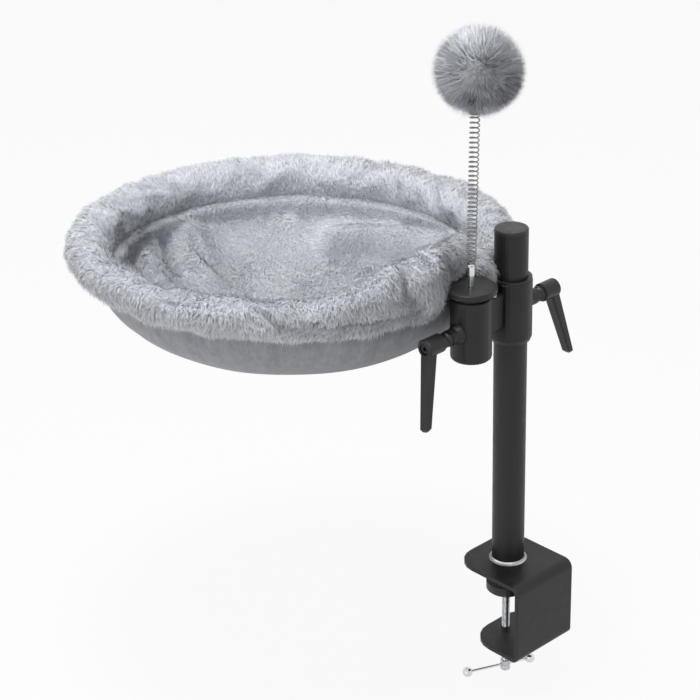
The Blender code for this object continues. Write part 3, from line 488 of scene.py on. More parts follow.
def on_bed(x, y, z):
    """Points given beside the hoop's centre (x away from the pivot) in the row's own axes."""
    flat = BED_CENTRE + np.asarray(x)[..., None] * BED_AWAY + np.asarray(y)[..., None] * BED_SIDE
    return np.concatenate([flat, np.asarray(z)[..., None]], -1)


def dish_height(x, y, across, depth):
    """Height of a half ellipsoid that hangs from the bowl's rim, tilted as the bowl is."""
    fall = np.sqrt(np.clip(1 - (x * x + y * y) / (across * across), 0, 1))
    return BOWL_RIM - depth * fall + BOWL_RISE * y / HOOP_RADIUS


def dish_grid(across, depth, rows, around):
    """Rows of x, y and height on a dish, from its lowest point out to its rim."""
    rise = np.linspace(0, 1, rows)[:, None] * pi / 2
    turns = np.linspace(0, 2 * pi, around, endpoint=False)[None, :]
    x = across * np.sin(rise) * np.cos(turns)
    y = across * np.sin(rise) * np.sin(turns)
    return x, y, dish_height(x, y, across, depth)


net_finish, tree, shader = finish("net_finish", NET_COLOUR, 0.8, Sheen_Weight=0.2)
cells = put(tree, "TexVoronoi", {"Vector": place_of(tree), "Scale": 1 / NET_PITCH},
            feature="DISTANCE_TO_EDGE").outputs["Distance"]
tint(tree, shader, cells, (0.08, NET_COLOUR), (0.16, NET_SHADE))
rough_up(tree, shader, tones(tree, cells, (0.05, WHITE), (0.2, (0, 0, 0))), NET_DEPTH)

x, y, z = dish_grid(*SLING_SIZE, SLING_ROWS, SLING_ROUND)
x = np.vstack([x, x[-1:]])
y = np.vstack([y, y[-1:]])
z = np.vstack([z, np.full_like(z[-1:], SLING_TOP)])
sling = mesh_piece("sling_net", on_bed(x, y, z).reshape(-1, 3),
                   grid_faces(SLING_ROWS + 1, SLING_ROUND)[:, ::-1], net_finish, "bed")
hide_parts("sling_mesh")

# ---- Sling hem and tabs ----
# A woven binding folded round the hoop and stitched to itself below, open beside the disc; the
# two hook-and-loop patches are sewn on the net near the pivot.
TAPE_COLOUR = (0.40, 0.41, 0.43)
HEM_RADIUS = 0.0069
HEM_START = radians(8.5)
TAB_ANGLE = radians(38)
TAB_HALF = radians(5.5)
TAB_RISE = (radians(52), radians(69))
TAB_INSET = 0.0015
TAB_THICK = 0.0011
TAB_ROWS = (12, 14)
TAB_COLOUR = (0.10, 0.10, 0.11)
TAB_PITCH = 0.0009
TAPE_PITCH = 0.0012
WOVEN_DEPTH = 0.0003
HEM_ROWS = 200
HEM_ROUND = 20


def on_ring(turn, out, height):
    """Points beside the hoop: turn 0 is next to the pivot, out is away from the bowl's middle."""
    turn, out, height = np.broadcast_arrays(turn, out, height)
    reach = HOOP_RADIUS + out
    return on_bed(-reach * np.cos(turn), -reach * np.sin(turn), height)


def woven(name, colour, pitch):
    """Narrow woven tape: ribs of one yarn over another; each cell is painted paler in its middle,
    where a yarn rises, and half as dark at its edges, painted shade between the yarns.
    """
    material, tree, shader = finish(name, colour, 0.85, Sheen_Weight=0.3)
    cells = put(tree, "TexVoronoi", {"Vector": place_of(tree), "Scale": 1 / pitch})
    dots = cells.outputs["Distance"]
    # Painted shade: the colour falls to half between the yarns.
    tint(tree, shader, dots, (0.1, colour), (0.8, tuple(0.5 * part for part in colour)))
    rough_up(tree, shader, dots, WOVEN_DEPTH)
    return material


tape_finish = woven("tape_finish", TAPE_COLOUR, TAPE_PITCH)
turns = np.linspace(HEM_START, 2 * pi - HEM_START, HEM_ROWS)[:, None]
spots = np.linspace(0, 2 * pi, HEM_ROUND, endpoint=False)[None, :]
points = on_ring(turns, HEM_RADIUS * np.cos(spots), HOOP_HEIGHT + HEM_RADIUS * np.sin(spots))
hem = mesh_piece("sling_binding", points.reshape(-1, 3), grid_faces(HEM_ROWS, HEM_ROUND)[:, ::-1],
                 tape_finish, "bed")
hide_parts("sling_hem")
tab_finish = woven("tab_finish", TAB_COLOUR, TAB_PITCH)
across, depth = SLING_SIZE[0] - TAB_INSET, SLING_SIZE[1] - TAB_INSET
for side, name in ((-1, "left"), (1, "right")):
    turns = TAB_ANGLE + np.linspace(-TAB_HALF, TAB_HALF, TAB_ROWS[0])[:, None]
    rises = np.linspace(*TAB_RISE, TAB_ROWS[1])[None, :]
    reach = across * np.sin(rises)
    x = -reach * np.cos(turns)
    y = -side * reach * np.sin(turns)
    z = dish_height(x, y, across, depth)
    tab = mesh_piece("sling_patch_" + name, on_bed(x, y, z).reshape(-1, 3),
                     grid_faces(*TAB_ROWS, closed=False), tab_finish, "bed")
    thick = tab.modifiers.new("thickness", "SOLIDIFY")
    thick.thickness = TAB_THICK
    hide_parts("sling_tab_" + name)

# ---- Plush rim ----
# Long-pile plush sewn into a tube round the hoop and gathered where its seam ends on the front.
# One open end stands up over the disc, the other is squeezed beside the post and shows a tuft. It
# is soft and only lightly filled, so it swells between its seams.
ROLL_HEIGHT = 0.3125
ROLL_WIDTH = 0.0182
ROLL_HALF = 0.0138
ROLL_SQUARE = (0.75, 0.92)
ROLL_LOBE = (0.0030, 0.0135, radians(220), radians(36))
POST_SQUEEZE = (radians(21), radians(40))
POST_SIZES = (0.0115, 0.0135, 0.0115)
POST_TUFT = 0.0135
POST_LIFT = 0.0045
FLAP_ABOVE = 0.3345
FLAP_OUTER = (0.0035, radians(347), radians(360))
FLAP_INNER = (0.0300, radians(322), radians(352))
FLAP_HALF = (0.0265, radians(312), radians(350))
FLAP_LIFT = 0.0095
FLAP_LEAN = 0.14
ROLL_START = radians(10.5)
ROLL_END = radians(364)
FLAP_SLANT = radians(7.0)
FLAP_PEAK = radians(100)
ROLL_ROWS = 400
ROLL_FINE = 0.2
ROLL_ROUND = 44
ROLL_THICK = 0.019
END_DOME = 0.0075
END_LEAST = 0.35
END_HELD = (0.008, 0.030)
ROLL_LUMPS = (0.0011, 0.034)
SECTION_REACH = 0.02
POST_TUFT_SPREAD = radians(2.5)
LOBE_GROWS = (radians(14), radians(40))
LOBE_FADES = (radians(315), radians(345))
SLANT_FROM = radians(320)
CREASE_FULL = 0.004
GROUND_COLOURS = ((0.42, 0.44, 0.49), (0.58, 0.60, 0.65))
GROUND_MOTTLE = 0.004
GROUND_KNIT = (0.0016, 0.0009)
HELD_LEAST = 0.02
PUFF_STEPS = 20
ROLL_PUFF = (4.0, 0.05, 0.0022)
CREASE_HELD = 1.6
ROLL_CREASES = (
    (0.0075, 0.0028, ((-56.5, 62), (-54.0, 40), (-51.5, 16), (-49.6, -6))),
    (0.0085, 0.0032, ((-49.6, -6), (-41, -15), (-32, -29), (-24, -36), (-14, -34))),
    (0.0014, 0.0016, ((-80, 44), (-63, 43))),
    (0.0045, 0.0040, ((-17, 70), (-19, 30), (-16, -10), (-18, -40))),
    (0.0040, 0.0060, ((-168, 150), (-160, 120), (-158, 95))),
    (0.0035, 0.0060, ((-186, 160), (-181, 130), (-177, 105))),
    (0.0035, 0.0060, ((-130, 165), (-133, 120), (-128, 80))),
    (0.0030, 0.0060, ((-215, 165), (-212, 120))),
    (0.0030, 0.0055, ((110, 170), (104, 120), (107, 80))),
    (0.0030, 0.0060, ((76, 170), (80, 125))))
# The root colour is painted shade deep in the pile.
PLUSH_ROOT_SHADE = (0.40, 0.42, 0.46)
PLUSH_MID = (0.70, 0.72, 0.755)
PLUSH_TIP = (0.86, 0.87, 0.885)


def ease(value, start, end):
    """Rise smoothly from 0 at start to 1 at end."""
    share = np.clip((value - start) / (end - start), 0, 1)
    return share * share * (3 - 2 * share)


def along_path(path, count=24):
    """Even points along a line of (turn, angle) corners given in degrees."""
    corners = np.radians(np.array(path, float))
    steps = np.linspace(0, len(corners) - 1, count)
    low = np.minimum(steps.astype(int), len(corners) - 2)
    share = (steps - low)[:, None]
    return corners[low] * (1 - share) + corners[low + 1] * share


def wander(values, seed, size):
    """Smooth random hills over points: a few random waves of about the given length, within +-1."""
    chance = np.random.default_rng(seed)
    total = np.zeros(len(values))
    for _ in range(14):
        way = chance.normal(size=values.shape[1])
        way /= np.linalg.norm(way)
        total += np.sin(values @ way * 2 * pi / (size * chance.uniform(0.7, 1.5))
                        + chance.uniform(0, 2 * pi))
    return total / 5


def roll_shape(turn):
    """The roll's middle (out, up) and its half width and half height at each turn."""
    squeezed = 1 - ease(turn, *POST_SQUEEZE)
    outer = ROLL_WIDTH + (POST_SIZES[0] - ROLL_WIDTH) * squeezed
    inner = ROLL_WIDTH + (POST_SIZES[1] - ROLL_WIDTH) * squeezed
    half = ROLL_HALF + (POST_SIZES[2] - ROLL_HALF) * squeezed
    outer = outer + POST_TUFT * np.exp(-((turn - ROLL_START) / POST_TUFT_SPREAD) ** 2)
    outer = outer + (FLAP_OUTER[0] - outer) * ease(turn, *FLAP_OUTER[1:])
    inner = inner + (FLAP_INNER[0] - inner) * ease(turn, *FLAP_INNER[1:])
    raised = ease(turn, *FLAP_HALF[1:])
    half = half + (FLAP_HALF[0] - half) * raised
    height = ROLL_HEIGHT - BOWL_RISE * np.sin(turn) + FLAP_LIFT * raised + POST_LIFT * squeezed
    return (outer - inner) / 2, height, (outer + inner) / 2, half


def square(share, power):
    """A section's cosine or sine, flattened so that its sides stand straighter."""
    return np.sign(share) * np.abs(share) ** power


def lean_of_flap(turn):
    """How far the free end leans out over the disc, for each metre of height."""
    return FLAP_LEAN * ease(turn, *FLAP_OUTER[1:])


def lobe_share(turn):
    """Where the roll sags over the lining's edge: everywhere but at its ends."""
    return np.minimum(ease(turn, *LOBE_GROWS), 1 - 0.7 * ease(turn, *LOBE_FADES))


def roll_end(angle):
    """Where the free end is cut: its top reaches furthest over the disc, its underside least."""
    return ROLL_END + FLAP_SLANT * np.cos(angle - FLAP_PEAK)


def to_end(turn, angle):
    """Distance of each point from the nearer end of the roll."""
    return np.minimum(turn - ROLL_START, roll_end(angle) - turn) * HOOP_RADIUS


def roll_crease_depth(turn, angle):
    """How far each point is drawn in by the seams and gathers, and how near it is to one."""
    depth = np.zeros_like(turn)
    near = np.zeros_like(turn)
    for fall, width, path in ROLL_CREASES:
        for spot_turn, spot_angle in along_path(path):
            off = (turn - spot_turn + pi) % (2 * pi) - pi
            tilt = (angle - spot_angle + pi) % (2 * pi) - pi
            gap = (off * HOOP_RADIUS) ** 2 + (tilt * ROLL_THICK) ** 2
            mark = np.exp(-gap / (2 * width * width))
            depth = np.maximum(depth, fall * mark)
            near = np.maximum(near, mark * min(1.0, fall / CREASE_FULL))
    return depth, near


def puff(thing, held, pressure, slack, cap):
    """Swell a closed cloth form with air; held points keep their place, none moves past the cap."""
    start = np.array([vert.co for vert in thing.data.vertices])
    group = thing.vertex_groups.new(name="held")
    for spot in np.nonzero(held > HELD_LEAST)[0]:
        group.add([int(spot)], float(min(held[spot], 1)), "REPLACE")
    cloth = thing.modifiers.new("puff", "CLOTH")
    cloth.settings.vertex_group_mass = group.name
    cloth.settings.use_pressure = True
    cloth.settings.uniform_pressure_force = pressure
    cloth.settings.shrink_min = -slack
    cloth.settings.effector_weights.gravity = 0
    cloth.collision_settings.use_collision = False
    for moment in range(1, PUFF_STEPS + 1):
        scene.frame_set(moment)
    shown = thing.evaluated_get(bpy.context.evaluated_depsgraph_get())
    end = np.array([vert.co for vert in shown.data.vertices])
    thing.modifiers.remove(cloth)
    thing.vertex_groups.clear()
    scene.frame_set(1)
    move = end - start
    length = np.linalg.norm(move, axis=1, keepdims=True)
    move *= np.minimum(1, cap / np.maximum(length, 1e-9))
    thing.data.vertices.foreach_set("co", (start + move).astype(np.float32).ravel())
    thing.data.update()


def plush_backing(name, colour_low, colour_high):
    """The knitted ground under the pile: mid grey, mottled where the pile parts."""
    material, tree, shader = finish(name, colour_high, 0.95, Specular_IOR_Level=0.15,
                                    Sheen_Weight=0.15)
    mottle = noise(tree, GROUND_MOTTLE, 4.0, 0.65)
    tint(tree, shader, mottle, (0.3, colour_low), (0.7, colour_high))
    rough_up(tree, shader, noise(tree, GROUND_KNIT[0], 3.0), GROUND_KNIT[1])
    return material


plush_ground = plush_backing("plush_ground", *GROUND_COLOURS)
step = np.linspace(-1, 1, ROLL_ROWS)
step = step + ROLL_FINE * np.sin(pi * step)
turn = np.repeat((ROLL_START + (ROLL_END - ROLL_START) * (step + 1) / 2)[:, None], ROLL_ROUND, 1)
angle = np.repeat(np.linspace(0, 2 * pi, ROLL_ROUND, endpoint=False)[None, :], ROLL_ROWS, 0)
turn = turn + (roll_end(angle) - ROLL_END) * ease(turn, SLANT_FROM, ROLL_END)
middle, centre_up, wide, high = roll_shape(turn)
hug = to_end(turn, angle)
rounded = np.sqrt(np.clip(1 - (1 - np.clip(hug / END_DOME, 0, 1)) ** 2, END_LEAST, 1))
depth, near = roll_crease_depth(turn, angle)
across, upright = square(np.cos(angle), ROLL_SQUARE[0]), square(np.sin(angle), ROLL_SQUARE[1])
size = np.hypot(wide * across, high * upright)
spots = np.stack([turn.ravel() * HOOP_RADIUS, np.sin(angle).ravel() * SECTION_REACH,
                  np.cos(angle).ravel() * SECTION_REACH], -1)
lumps = ROLL_LUMPS[0] * wander(spots, 5, ROLL_LUMPS[1]).reshape(turn.shape)
scale = (rounded * (size - depth + lumps * high / ROLL_HALF)) / size
up = high * upright * scale
lobe = np.exp(-((angle - ROLL_LOBE[2]) / ROLL_LOBE[3]) ** 2 / 2) * lobe_share(turn)
up = up - ROLL_LOBE[1] * lobe
out = middle + wide * across * scale - ROLL_LOBE[0] * lobe + lean_of_flap(turn) * up
up = centre_up + up
points = on_ring(turn, out, up).reshape(-1, 3)
faces = capped_faces(ROLL_ROWS, ROLL_ROUND, -1)
rim = mesh_piece("plush_roll", points, faces, plush_ground, "bed")
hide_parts("plush_rim")
ends = (1 - ease(hug, *END_HELD)).ravel()
puff(rim, np.maximum(np.clip(near.ravel() * CREASE_HELD, 0, 1), ends), *ROLL_PUFF)


def surface(thing):
    """Points, normals and triangles of a piece's mesh, as arrays."""
    mesh = thing.data
    mesh.calc_loop_triangles()
    points = np.empty(len(mesh.vertices) * 3)
    mesh.vertices.foreach_get("co", points)
    normals = np.empty(len(mesh.vertices) * 3)
    mesh.vertices.foreach_get("normal", normals)
    faces = np.empty(len(mesh.loop_triangles) * 3, np.int32)
    mesh.loop_triangles.foreach_get("vertices", faces)
    return points.reshape(-1, 3), normals.reshape(-1, 3), faces.reshape(-1, 3)


def scatter(thing, count, chance, wanted=None):
    """Random spots on a mesh, evenly by area: place and normal, from wanted triangles only."""
    points, normals, faces = surface(thing)
    corners = points[faces]
    first, second = corners[:, 1] - corners[:, 0], corners[:, 2] - corners[:, 0]
    area = np.linalg.norm(np.cross(first, second), axis=1)
    if wanted is not None:
        area = area * wanted(corners.mean(1), normals[faces].mean(1))
    chosen = chance.choice(len(faces), count, p=area / area.sum())
    first, second = chance.random(count), chance.random(count)
    flip = first + second > 1
    first[flip], second[flip] = 1 - first[flip], 1 - second[flip]
    shares = np.stack([1 - first - second, first, second], -1)[..., None]
    normal = unit((normals[faces[chosen]] * shares).sum(1))
    return (corners[chosen] * shares).sum(1), normal


def unit(vectors):
    return vectors / np.maximum(np.linalg.norm(vectors, axis=1, keepdims=True), 1e-9)


def pile_tips(roots, tips, spacing, pull, chance):
    """Draw the tips of neighbouring fibres together into tufts."""
    leaders = chance.choice(len(roots), max(len(roots) // spacing, 1), replace=False)
    tree = KDTree(len(leaders))
    for spot, leader in enumerate(leaders):
        tree.insert(roots[leader], spot)
    tree.balance()
    mine = np.array([leaders[tree.find(root)[1]] for root in roots])
    return tips + (tips[mine] - tips) * (pull * chance.uniform(0.4, 1.2, (len(roots), 1)))


PILE_LOT = 64000
TONES = 16
PILE_SUNK = 0.0006
PILE_PROFILE = ((0.15, 0.02), (0.85, 0.02), (0.85, 0.5), (0.15, 0.5), (0.15, 0.5), (0.85, 0.5),
                (0.5, 0.98))


def pile(name, parent, roots, normals, lay, lean, length, width, tone, chance, spacing, pull,
         material, droop=0.0, scattered=0.13, facing=None):
    """Fibres as thin tapering ribbons that lean along their lay; tone darkens or lightens each."""
    lay = unit(lay - normals * (lay * normals).sum(1, keepdims=True))
    lean, length = lean[:, None], length[:, None]
    rise = unit(normals * np.cos(lean) + lay * np.sin(lean))
    tips = roots + length * unit(normals * np.cos(lean * 1.25) + lay * np.sin(lean * 1.25))
    tips[:, 2:] -= droop * length
    tips = pile_tips(roots, tips, spacing, pull, chance)
    middle = roots + rise * length * 0.5 + (tips - roots) * 0.06
    across = np.cross(rise, normals)
    blank = np.linalg.norm(across, axis=1) < 1e-3
    across[blank] = np.cross(rise[blank], lay[blank] + 0.01)
    across = unit(unit(across) + normals * chance.uniform(-0.5, 0.5, (len(roots), 1)))
    across *= width[:, None] / 2
    base = roots - normals * PILE_SUNK
    points = np.stack([base - across, base + across, middle - across * 0.8, middle + across * 0.8,
                       tips], 1)
    facing = normals if facing is None else facing
    shading = unit(facing + 0.35 * rise + chance.normal(size=normals.shape) * scattered)
    column = np.clip((tone * TONES).astype(int), 0, TONES - 1)[:, None]
    sides, heights = np.array(PILE_PROFILE).T[:, None, :]
    spread = np.stack([(column + sides) / TONES, np.repeat(heights, len(roots), 0)], -1)
    lots = np.array_split(np.arange(len(roots)), -(-len(roots) // PILE_LOT))
    for number, lot in enumerate(lots):
        count = len(lot)
        mesh = bpy.data.meshes.new(name)
        mesh.vertices.add(count * 5)
        mesh.vertices.foreach_set("co", points[lot].astype(np.float32).ravel())
        first = np.arange(count)[:, None] * 5
        mesh.loops.add(count * 7)
        mesh.loops.foreach_set("vertex_index",
                               (first + np.array([0, 1, 3, 2, 2, 3, 4])).astype(np.int32).ravel())
        mesh.polygons.add(count * 2)
        starts = np.arange(count)[:, None] * 7 + np.array([0, 4])
        mesh.polygons.foreach_set("loop_start", starts.astype(np.int32).ravel())
        mesh.update(calc_edges=True)
        layer = mesh.uv_layers.new(name="OFBake")
        layer.data.foreach_set("uv", spread[lot].astype(np.float32).ravel())
        mesh.materials.append(material)
        mesh.shade_smooth()
        mesh.normals_split_custom_set_from_vertices(np.repeat(shading[lot], 5, 0).tolist())
        label = name if len(lots) == 1 else name + "_%d" % (number + 1)
        made = add(label, mesh)
        made.parent = parent


FIBRE_TONES = ((0.0, (0.72, 0.72, 0.72 * 1.03)), (1.0, (1.10, 1.10, 1.10)))


def fibre(name, root, mid, tip):
    """Pile fibres: pale at the tip and dark at the root, painted shade deep in the pile; each of
    one of sixteen tones.
    """
    material, tree, shader = finish(name, mid, 0.82, Specular_IOR_Level=0.22, Sheen_Weight=0.25,
                                    Sheen_Roughness=0.5)
    spot = put(tree, "SeparateXYZ", {0: put(tree, "UVMap", uv_map="OFBake").outputs["UV"]})
    # Painted shade: the root stop darkens each fibre towards its base.
    along = tones(tree, spot.outputs["Y"], (0.05, root), (0.5, mid), (0.95, tip))
    shade = tones(tree, spot.outputs["X"], *FIBRE_TONES)
    mixed = put(tree, "Mix", {"Factor": 1.0}, data_type="RGBA", blend_type="MULTIPLY")
    tree.links.new(along, mixed.inputs[6])
    tree.links.new(shade, mixed.inputs[7])
    tree.links.new(mixed.outputs[2], shader.inputs["Base Color"])
    return material


plush_fibre = fibre("plush_fibre", PLUSH_ROOT_SHADE, PLUSH_MID, PLUSH_TIP)
RIM_FIBRES = 124000
RIM_PILE = 0.0078
FIBRE_WIDTHS = (0.00035, 0.00065)
FIBRE_SPREAD = (0.65, 1.2)
FIBRE_LEANS = (0.2, 1.3)
RIM_SWIRLS = (0.045, 0.016)
END_FRINGE = 0.006
END_FACING = 0.010
END_DENSE = 0.030
# Where the free end's outer fibres are painted paler: painted light.
FLAP_PAINTED_LIGHT = (radians(346), radians(356))
FLAP_TURNS = (ROLL_START - 0.012, ROLL_START + 0.05)
UPWARD = np.array([0, 0, 1])


def bed_axes(places):
    """How far each place lies from the hoop's centre, away from the pivot and to the side."""
    flat = places[:, :2] - BED_CENTRE
    return flat @ BED_AWAY, flat @ BED_SIDE


def roll_turn(places):
    """Each place's turn round the hoop, counted on past the full circle on the free end."""
    x, y = bed_axes(places)
    turn = np.arctan2(-y, -x) % (2 * pi)
    flap = (turn < FLAP_TURNS[0]) | ((turn < FLAP_TURNS[1]) & (places[:, 2] > FLAP_ABOVE))
    return np.where(flap, turn + 2 * pi, turn)


def denser_ends(places, normals):
    """More fibres at the roll's two ends, where they stand out from it as a fringe."""
    turn = roll_turn(places)
    hug = np.minimum(turn - ROLL_START, ROLL_END - turn) * HOOP_RADIUS
    return 1 + 1.6 * (1 - ease(hug, 0.0, END_DENSE))


chance = np.random.default_rng(11)
roots, normals = scatter(rim, RIM_FIBRES, chance, denser_ends)
x, y = bed_axes(roots)
turn = roll_turn(roots)
middle, centre_up, wide, high = roll_shape(turn)
up = roots[:, 2] - centre_up
out = np.hypot(x, y) - HOOP_RADIUS - middle - lean_of_flap(turn) * up
angle = np.arctan2(up / high, out / wide)
level = np.zeros((RIM_FIBRES, 1))
outward = -np.cos(turn)[:, None] * BED_AWAY - np.sin(turn)[:, None] * BED_SIDE
round_way = np.sin(turn)[:, None] * BED_AWAY - np.cos(turn)[:, None] * BED_SIDE
outward, round_way = np.hstack([outward, level]), np.hstack([round_way, level])
down = outward * np.sin(angle)[:, None] - UPWARD * np.cos(angle)[:, None]
depth, near = roll_crease_depth(turn, angle)
swirl, swirl_more = wander(roots, 21, RIM_SWIRLS[0]), wander(roots, 22, RIM_SWIRLS[1])
lay = (down + round_way * (0.28 * swirl + 0.22 * swirl_more)[:, None]
       + outward * (0.2 * swirl_more)[:, None])
hug = to_end(turn, angle)
fringe = np.exp(-np.maximum(hug, 0) / END_FRINGE)
end_way = np.where(turn > pi, 1.0, -1.0)
lay += round_way * (end_way * fringe * 1.8)[:, None] + chance.normal(size=lay.shape) * 0.42
lay += outward * (fringe * (turn < 1) * 2.0)[:, None]
squeezed = 1 - ease(turn, *POST_SQUEEZE)
length = RIM_PILE * chance.uniform(*FIBRE_SPREAD, RIM_FIBRES) * (1 + 0.15 * swirl_more)
length *= (1 - 0.25 * squeezed) * (1 - fringe) + (1.25 + 0.75 * (turn < 1)) * fringe
lean = np.radians(54) + 0.10 * swirl - 0.25 * fringe + chance.normal(size=RIM_FIBRES) * 0.17
width = chance.uniform(*FIBRE_WIDTHS, RIM_FIBRES)
# Painted shade: fibres near the seams and gathers get darker tones.
tone = (0.60 + 0.12 * swirl_more + 0.06 * swirl + chance.normal(size=RIM_FIBRES) * 0.18
        - 0.60 * near)
# Painted light: the outer half of the free end gets paler tones.
tone += 0.28 * ease(turn, *FLAP_PAINTED_LIGHT) * (np.cos(angle) > 0)
at_end = np.exp(-np.maximum(hug, 0) / END_FACING)[:, None]
side_way = outward * np.cos(angle)[:, None] + UPWARD * np.sin(angle)[:, None]
facing = unit(normals * (1 - at_end) + side_way * at_end)
pile("plush_roll_pile", rim, roots, normals, lay, np.clip(lean, *FIBRE_LEANS), length,
     width, tone, chance, 6, 0.14, plush_fibre, droop=0.08, facing=facing)

# ---- Plush bowl lining ----
# One round of the same plush, thinly padded, laid loose in the net dish: it has slack, so it
# folds on the left and runs in long pleats towards the corner beside the disc.
LINING_TOP = (0.1790, 0.0748)
LINING_BACK = (0.1855, 0.0832)
LINING_DRAWN = 0.034
LINING_SUNK = 0.0052
LINING_EDGE = ((0.1735, 0.1860, 0.0015), (0.1748, 0.1862, 0.0035), (0.1778, 0.1862, 0.0055),
               (0.1822, 0.1858, 0.0080))
LINING_ROWS = 64
LINING_ROUND = 260
LINING_MERGE = 2e-5
LINING_WAVE = (0.0016, 0.075)
LINING_CALM = (0.150, 0.176)
LINING_HELD = (0.160, 0.174)
FOLDS_END = (BOWL_RIM - 0.018, BOWL_RIM - 0.002)
FOLD_CREASE = 0.005
LINING_SHOWN = 0.1805
LINING_PUFF = (3.0, 0.06, 0.0035)
LINING_FOLDS = (
    (0.0120, 0.0130, ((166, 37), (154, 43), (136, 52))),
    (0.0150, 0.0140, ((169, -26), (154, -20), (130, -8), (109, 4))),
    (0.0135, 0.0085, ((69, -134), (57, -144), (39, -152), (9, -160), (-18, -162), (-62, -160))),
    (-0.0110, 0.0055, ((172, 10), (160, 16), (142, 28))),
    (-0.0070, 0.0055, ((169, 34), (163, 55), (157, 70))),
    (-0.0060, 0.0035, ((157, -17), (136, -11), (109, -8))),
    (-0.0060, 0.0065, ((57, -124), (44, -132), (28, -139), (0, -145), (-24, -147), (-62, -144))),
    (0.0040, 0.0100, ((20, -108), (-30, -118), (-80, -118), (-118, -104))),
    (-0.0025, 0.0060, ((164, 66), (146, 66), (120, 68))),
    (0.0030, 0.0100, ((150, 86), (128, 80), (108, 78))),
    (-0.0020, 0.0080, ((40, 20), (0, 34), (-40, 30))),
    (0.0020, 0.0110, ((60, -60), (20, -40), (-20, -44))))


def lining_fold(x, y):
    """Height of the folds above the even dish, and how deep in a crease each point lies."""
    height = np.zeros_like(x)
    crease = np.zeros_like(x)
    for rise, width, path in LINING_FOLDS:
        corners = np.array(path, float) / 1000
        near = np.full(x.shape, 1.0)
        for first, second in zip(corners, corners[1:]):
            step = second - first
            ahead = (x - first[0]) * step[0] + (y - first[1]) * step[1]
            share = np.clip(ahead / (step @ step), 0, 1)
            near = np.minimum(near, np.hypot(x - first[0] - share * step[0],
                                             y - first[1] - share * step[1]))
        mark = np.exp(-near ** 2 / (2 * width * width))
        height += rise * mark
        if rise < 0:
            crease = np.maximum(crease, mark * min(1, -rise / FOLD_CREASE))
    return height, crease


def with_edge(grid, side, size):
    """A dish's rows with the stretch of its edge that stands up behind the roll."""
    x, y, z = grid
    upper = (1 - side) * ease(np.linspace(0, 1, LINING_ROWS), 0.76, 1)[:, None]
    drawn = 1 - LINING_DRAWN * upper
    x, y, z = x * drawn, y * drawn, z - LINING_SUNK * upper
    for edge in LINING_EDGE:
        share = edge[side] / (size * drawn[-1, 0])
        last = LINING_ROWS - 1
        x, y = np.vstack([x, x[last] * share]), np.vstack([y, y[last] * share])
        z = np.vstack([z, z[last] + edge[2]])
    return x, y, z


x, y, z = with_edge(dish_grid(*LINING_TOP, LINING_ROWS, LINING_ROUND), 0, LINING_TOP[0])
fold, crease = lining_fold(x, y)
gentle = wander(np.stack([x.ravel(), y.ravel()], -1), 31, LINING_WAVE[1]).reshape(x.shape)
reach = np.hypot(x, y)
z = z + fold * (1 - ease(z, *FOLDS_END))
z = z + LINING_WAVE[0] * gentle * (1 - ease(reach, *LINING_CALM))
top = on_bed(x, y, z)
back = dish_grid(*LINING_BACK, LINING_ROWS, LINING_ROUND)
back = on_bed(*with_edge(back, 1, LINING_BACK[0]))[::-1]
points = np.concatenate([top.reshape(-1, 3), back.reshape(-1, 3)])
held = np.concatenate([np.maximum(crease, ease(reach, *LINING_HELD)).ravel(),
                       np.ones(back.shape[0] * back.shape[1])])
lining = mesh_piece("plush_bowl", points, grid_faces(2 * top.shape[0], LINING_ROUND), plush_ground,
                    "bed")
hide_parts("plush_lining")
puff(lining, held, *LINING_PUFF)
merged(lining, LINING_MERGE)


def shown_in_bowl(places, normals):
    """1 on the lining's upper side, 0 on its back and behind the roll."""
    flat = places[:, :2] - BED_CENTRE
    reach = np.hypot(*flat.T)
    facing = normals[:, 2] - 0.5 * (normals[:, :2] * flat).sum(1) / np.maximum(reach, 1e-6)
    return (facing > 0) * (reach < LINING_SHOWN) + 1e-9


LINING_FIBRES = 110000
LINING_PILE = 0.0072
LINING_LAY = np.array((-0.45, -0.70, 0.0))
LINING_SWIRLS = (0.060, 0.018)
chance = np.random.default_rng(12)
roots, normals = scatter(lining, LINING_FIBRES, chance, shown_in_bowl)
fold, crease = lining_fold(*bed_axes(roots))
swirl, swirl_more = wander(roots, 41, LINING_SWIRLS[0]), wander(roots, 42, LINING_SWIRLS[1])
lay = (np.repeat(LINING_LAY[None, :], LINING_FIBRES, 0)
       + np.stack([swirl, -0.6 * swirl + 0.5 * swirl_more, 0.2 * swirl_more], -1) * 0.75
       + chance.normal(size=roots.shape) * 0.38)
length = LINING_PILE * chance.uniform(*FIBRE_SPREAD, LINING_FIBRES) * (1 + 0.15 * swirl_more)
lean = np.radians(58) + 0.2 * swirl + chance.normal(size=LINING_FIBRES) * 0.15
width = chance.uniform(*FIBRE_WIDTHS, LINING_FIBRES)
# Painted shade: fibres in the creases of the folds get darker tones.
tone = (0.66 + 0.10 * swirl_more + 0.06 * swirl + chance.normal(size=LINING_FIBRES) * 0.13
        - 0.75 * crease)
pile("plush_bowl_pile", lining, roots, normals, lay, np.clip(lean, *FIBRE_LEANS),
     length, width, tone, chance, 6, 0.14, plush_fibre)

# ---- Underside bag ----
# A smooth short-nap cover, cut as one round and drawn up under the roll, where it is sewn in. It
# hangs a little slack below the net, and its nap shows faint upright streaks.
BAG_SIZE = (0.1944, 0.0913)
BAG_ROWS = 60
BAG_ROUND = 240
BAG_STREAKS = (0.006, 0.0006)
BAG_STRETCH = (1, 1, 0.12)
BAG_EDGE = (0.150, 0.190)
BAG_GATHERS = (0.0016, 0.020)
BAG_SAG = (0.0009, 0.11)
BAG_REACH = 0.19
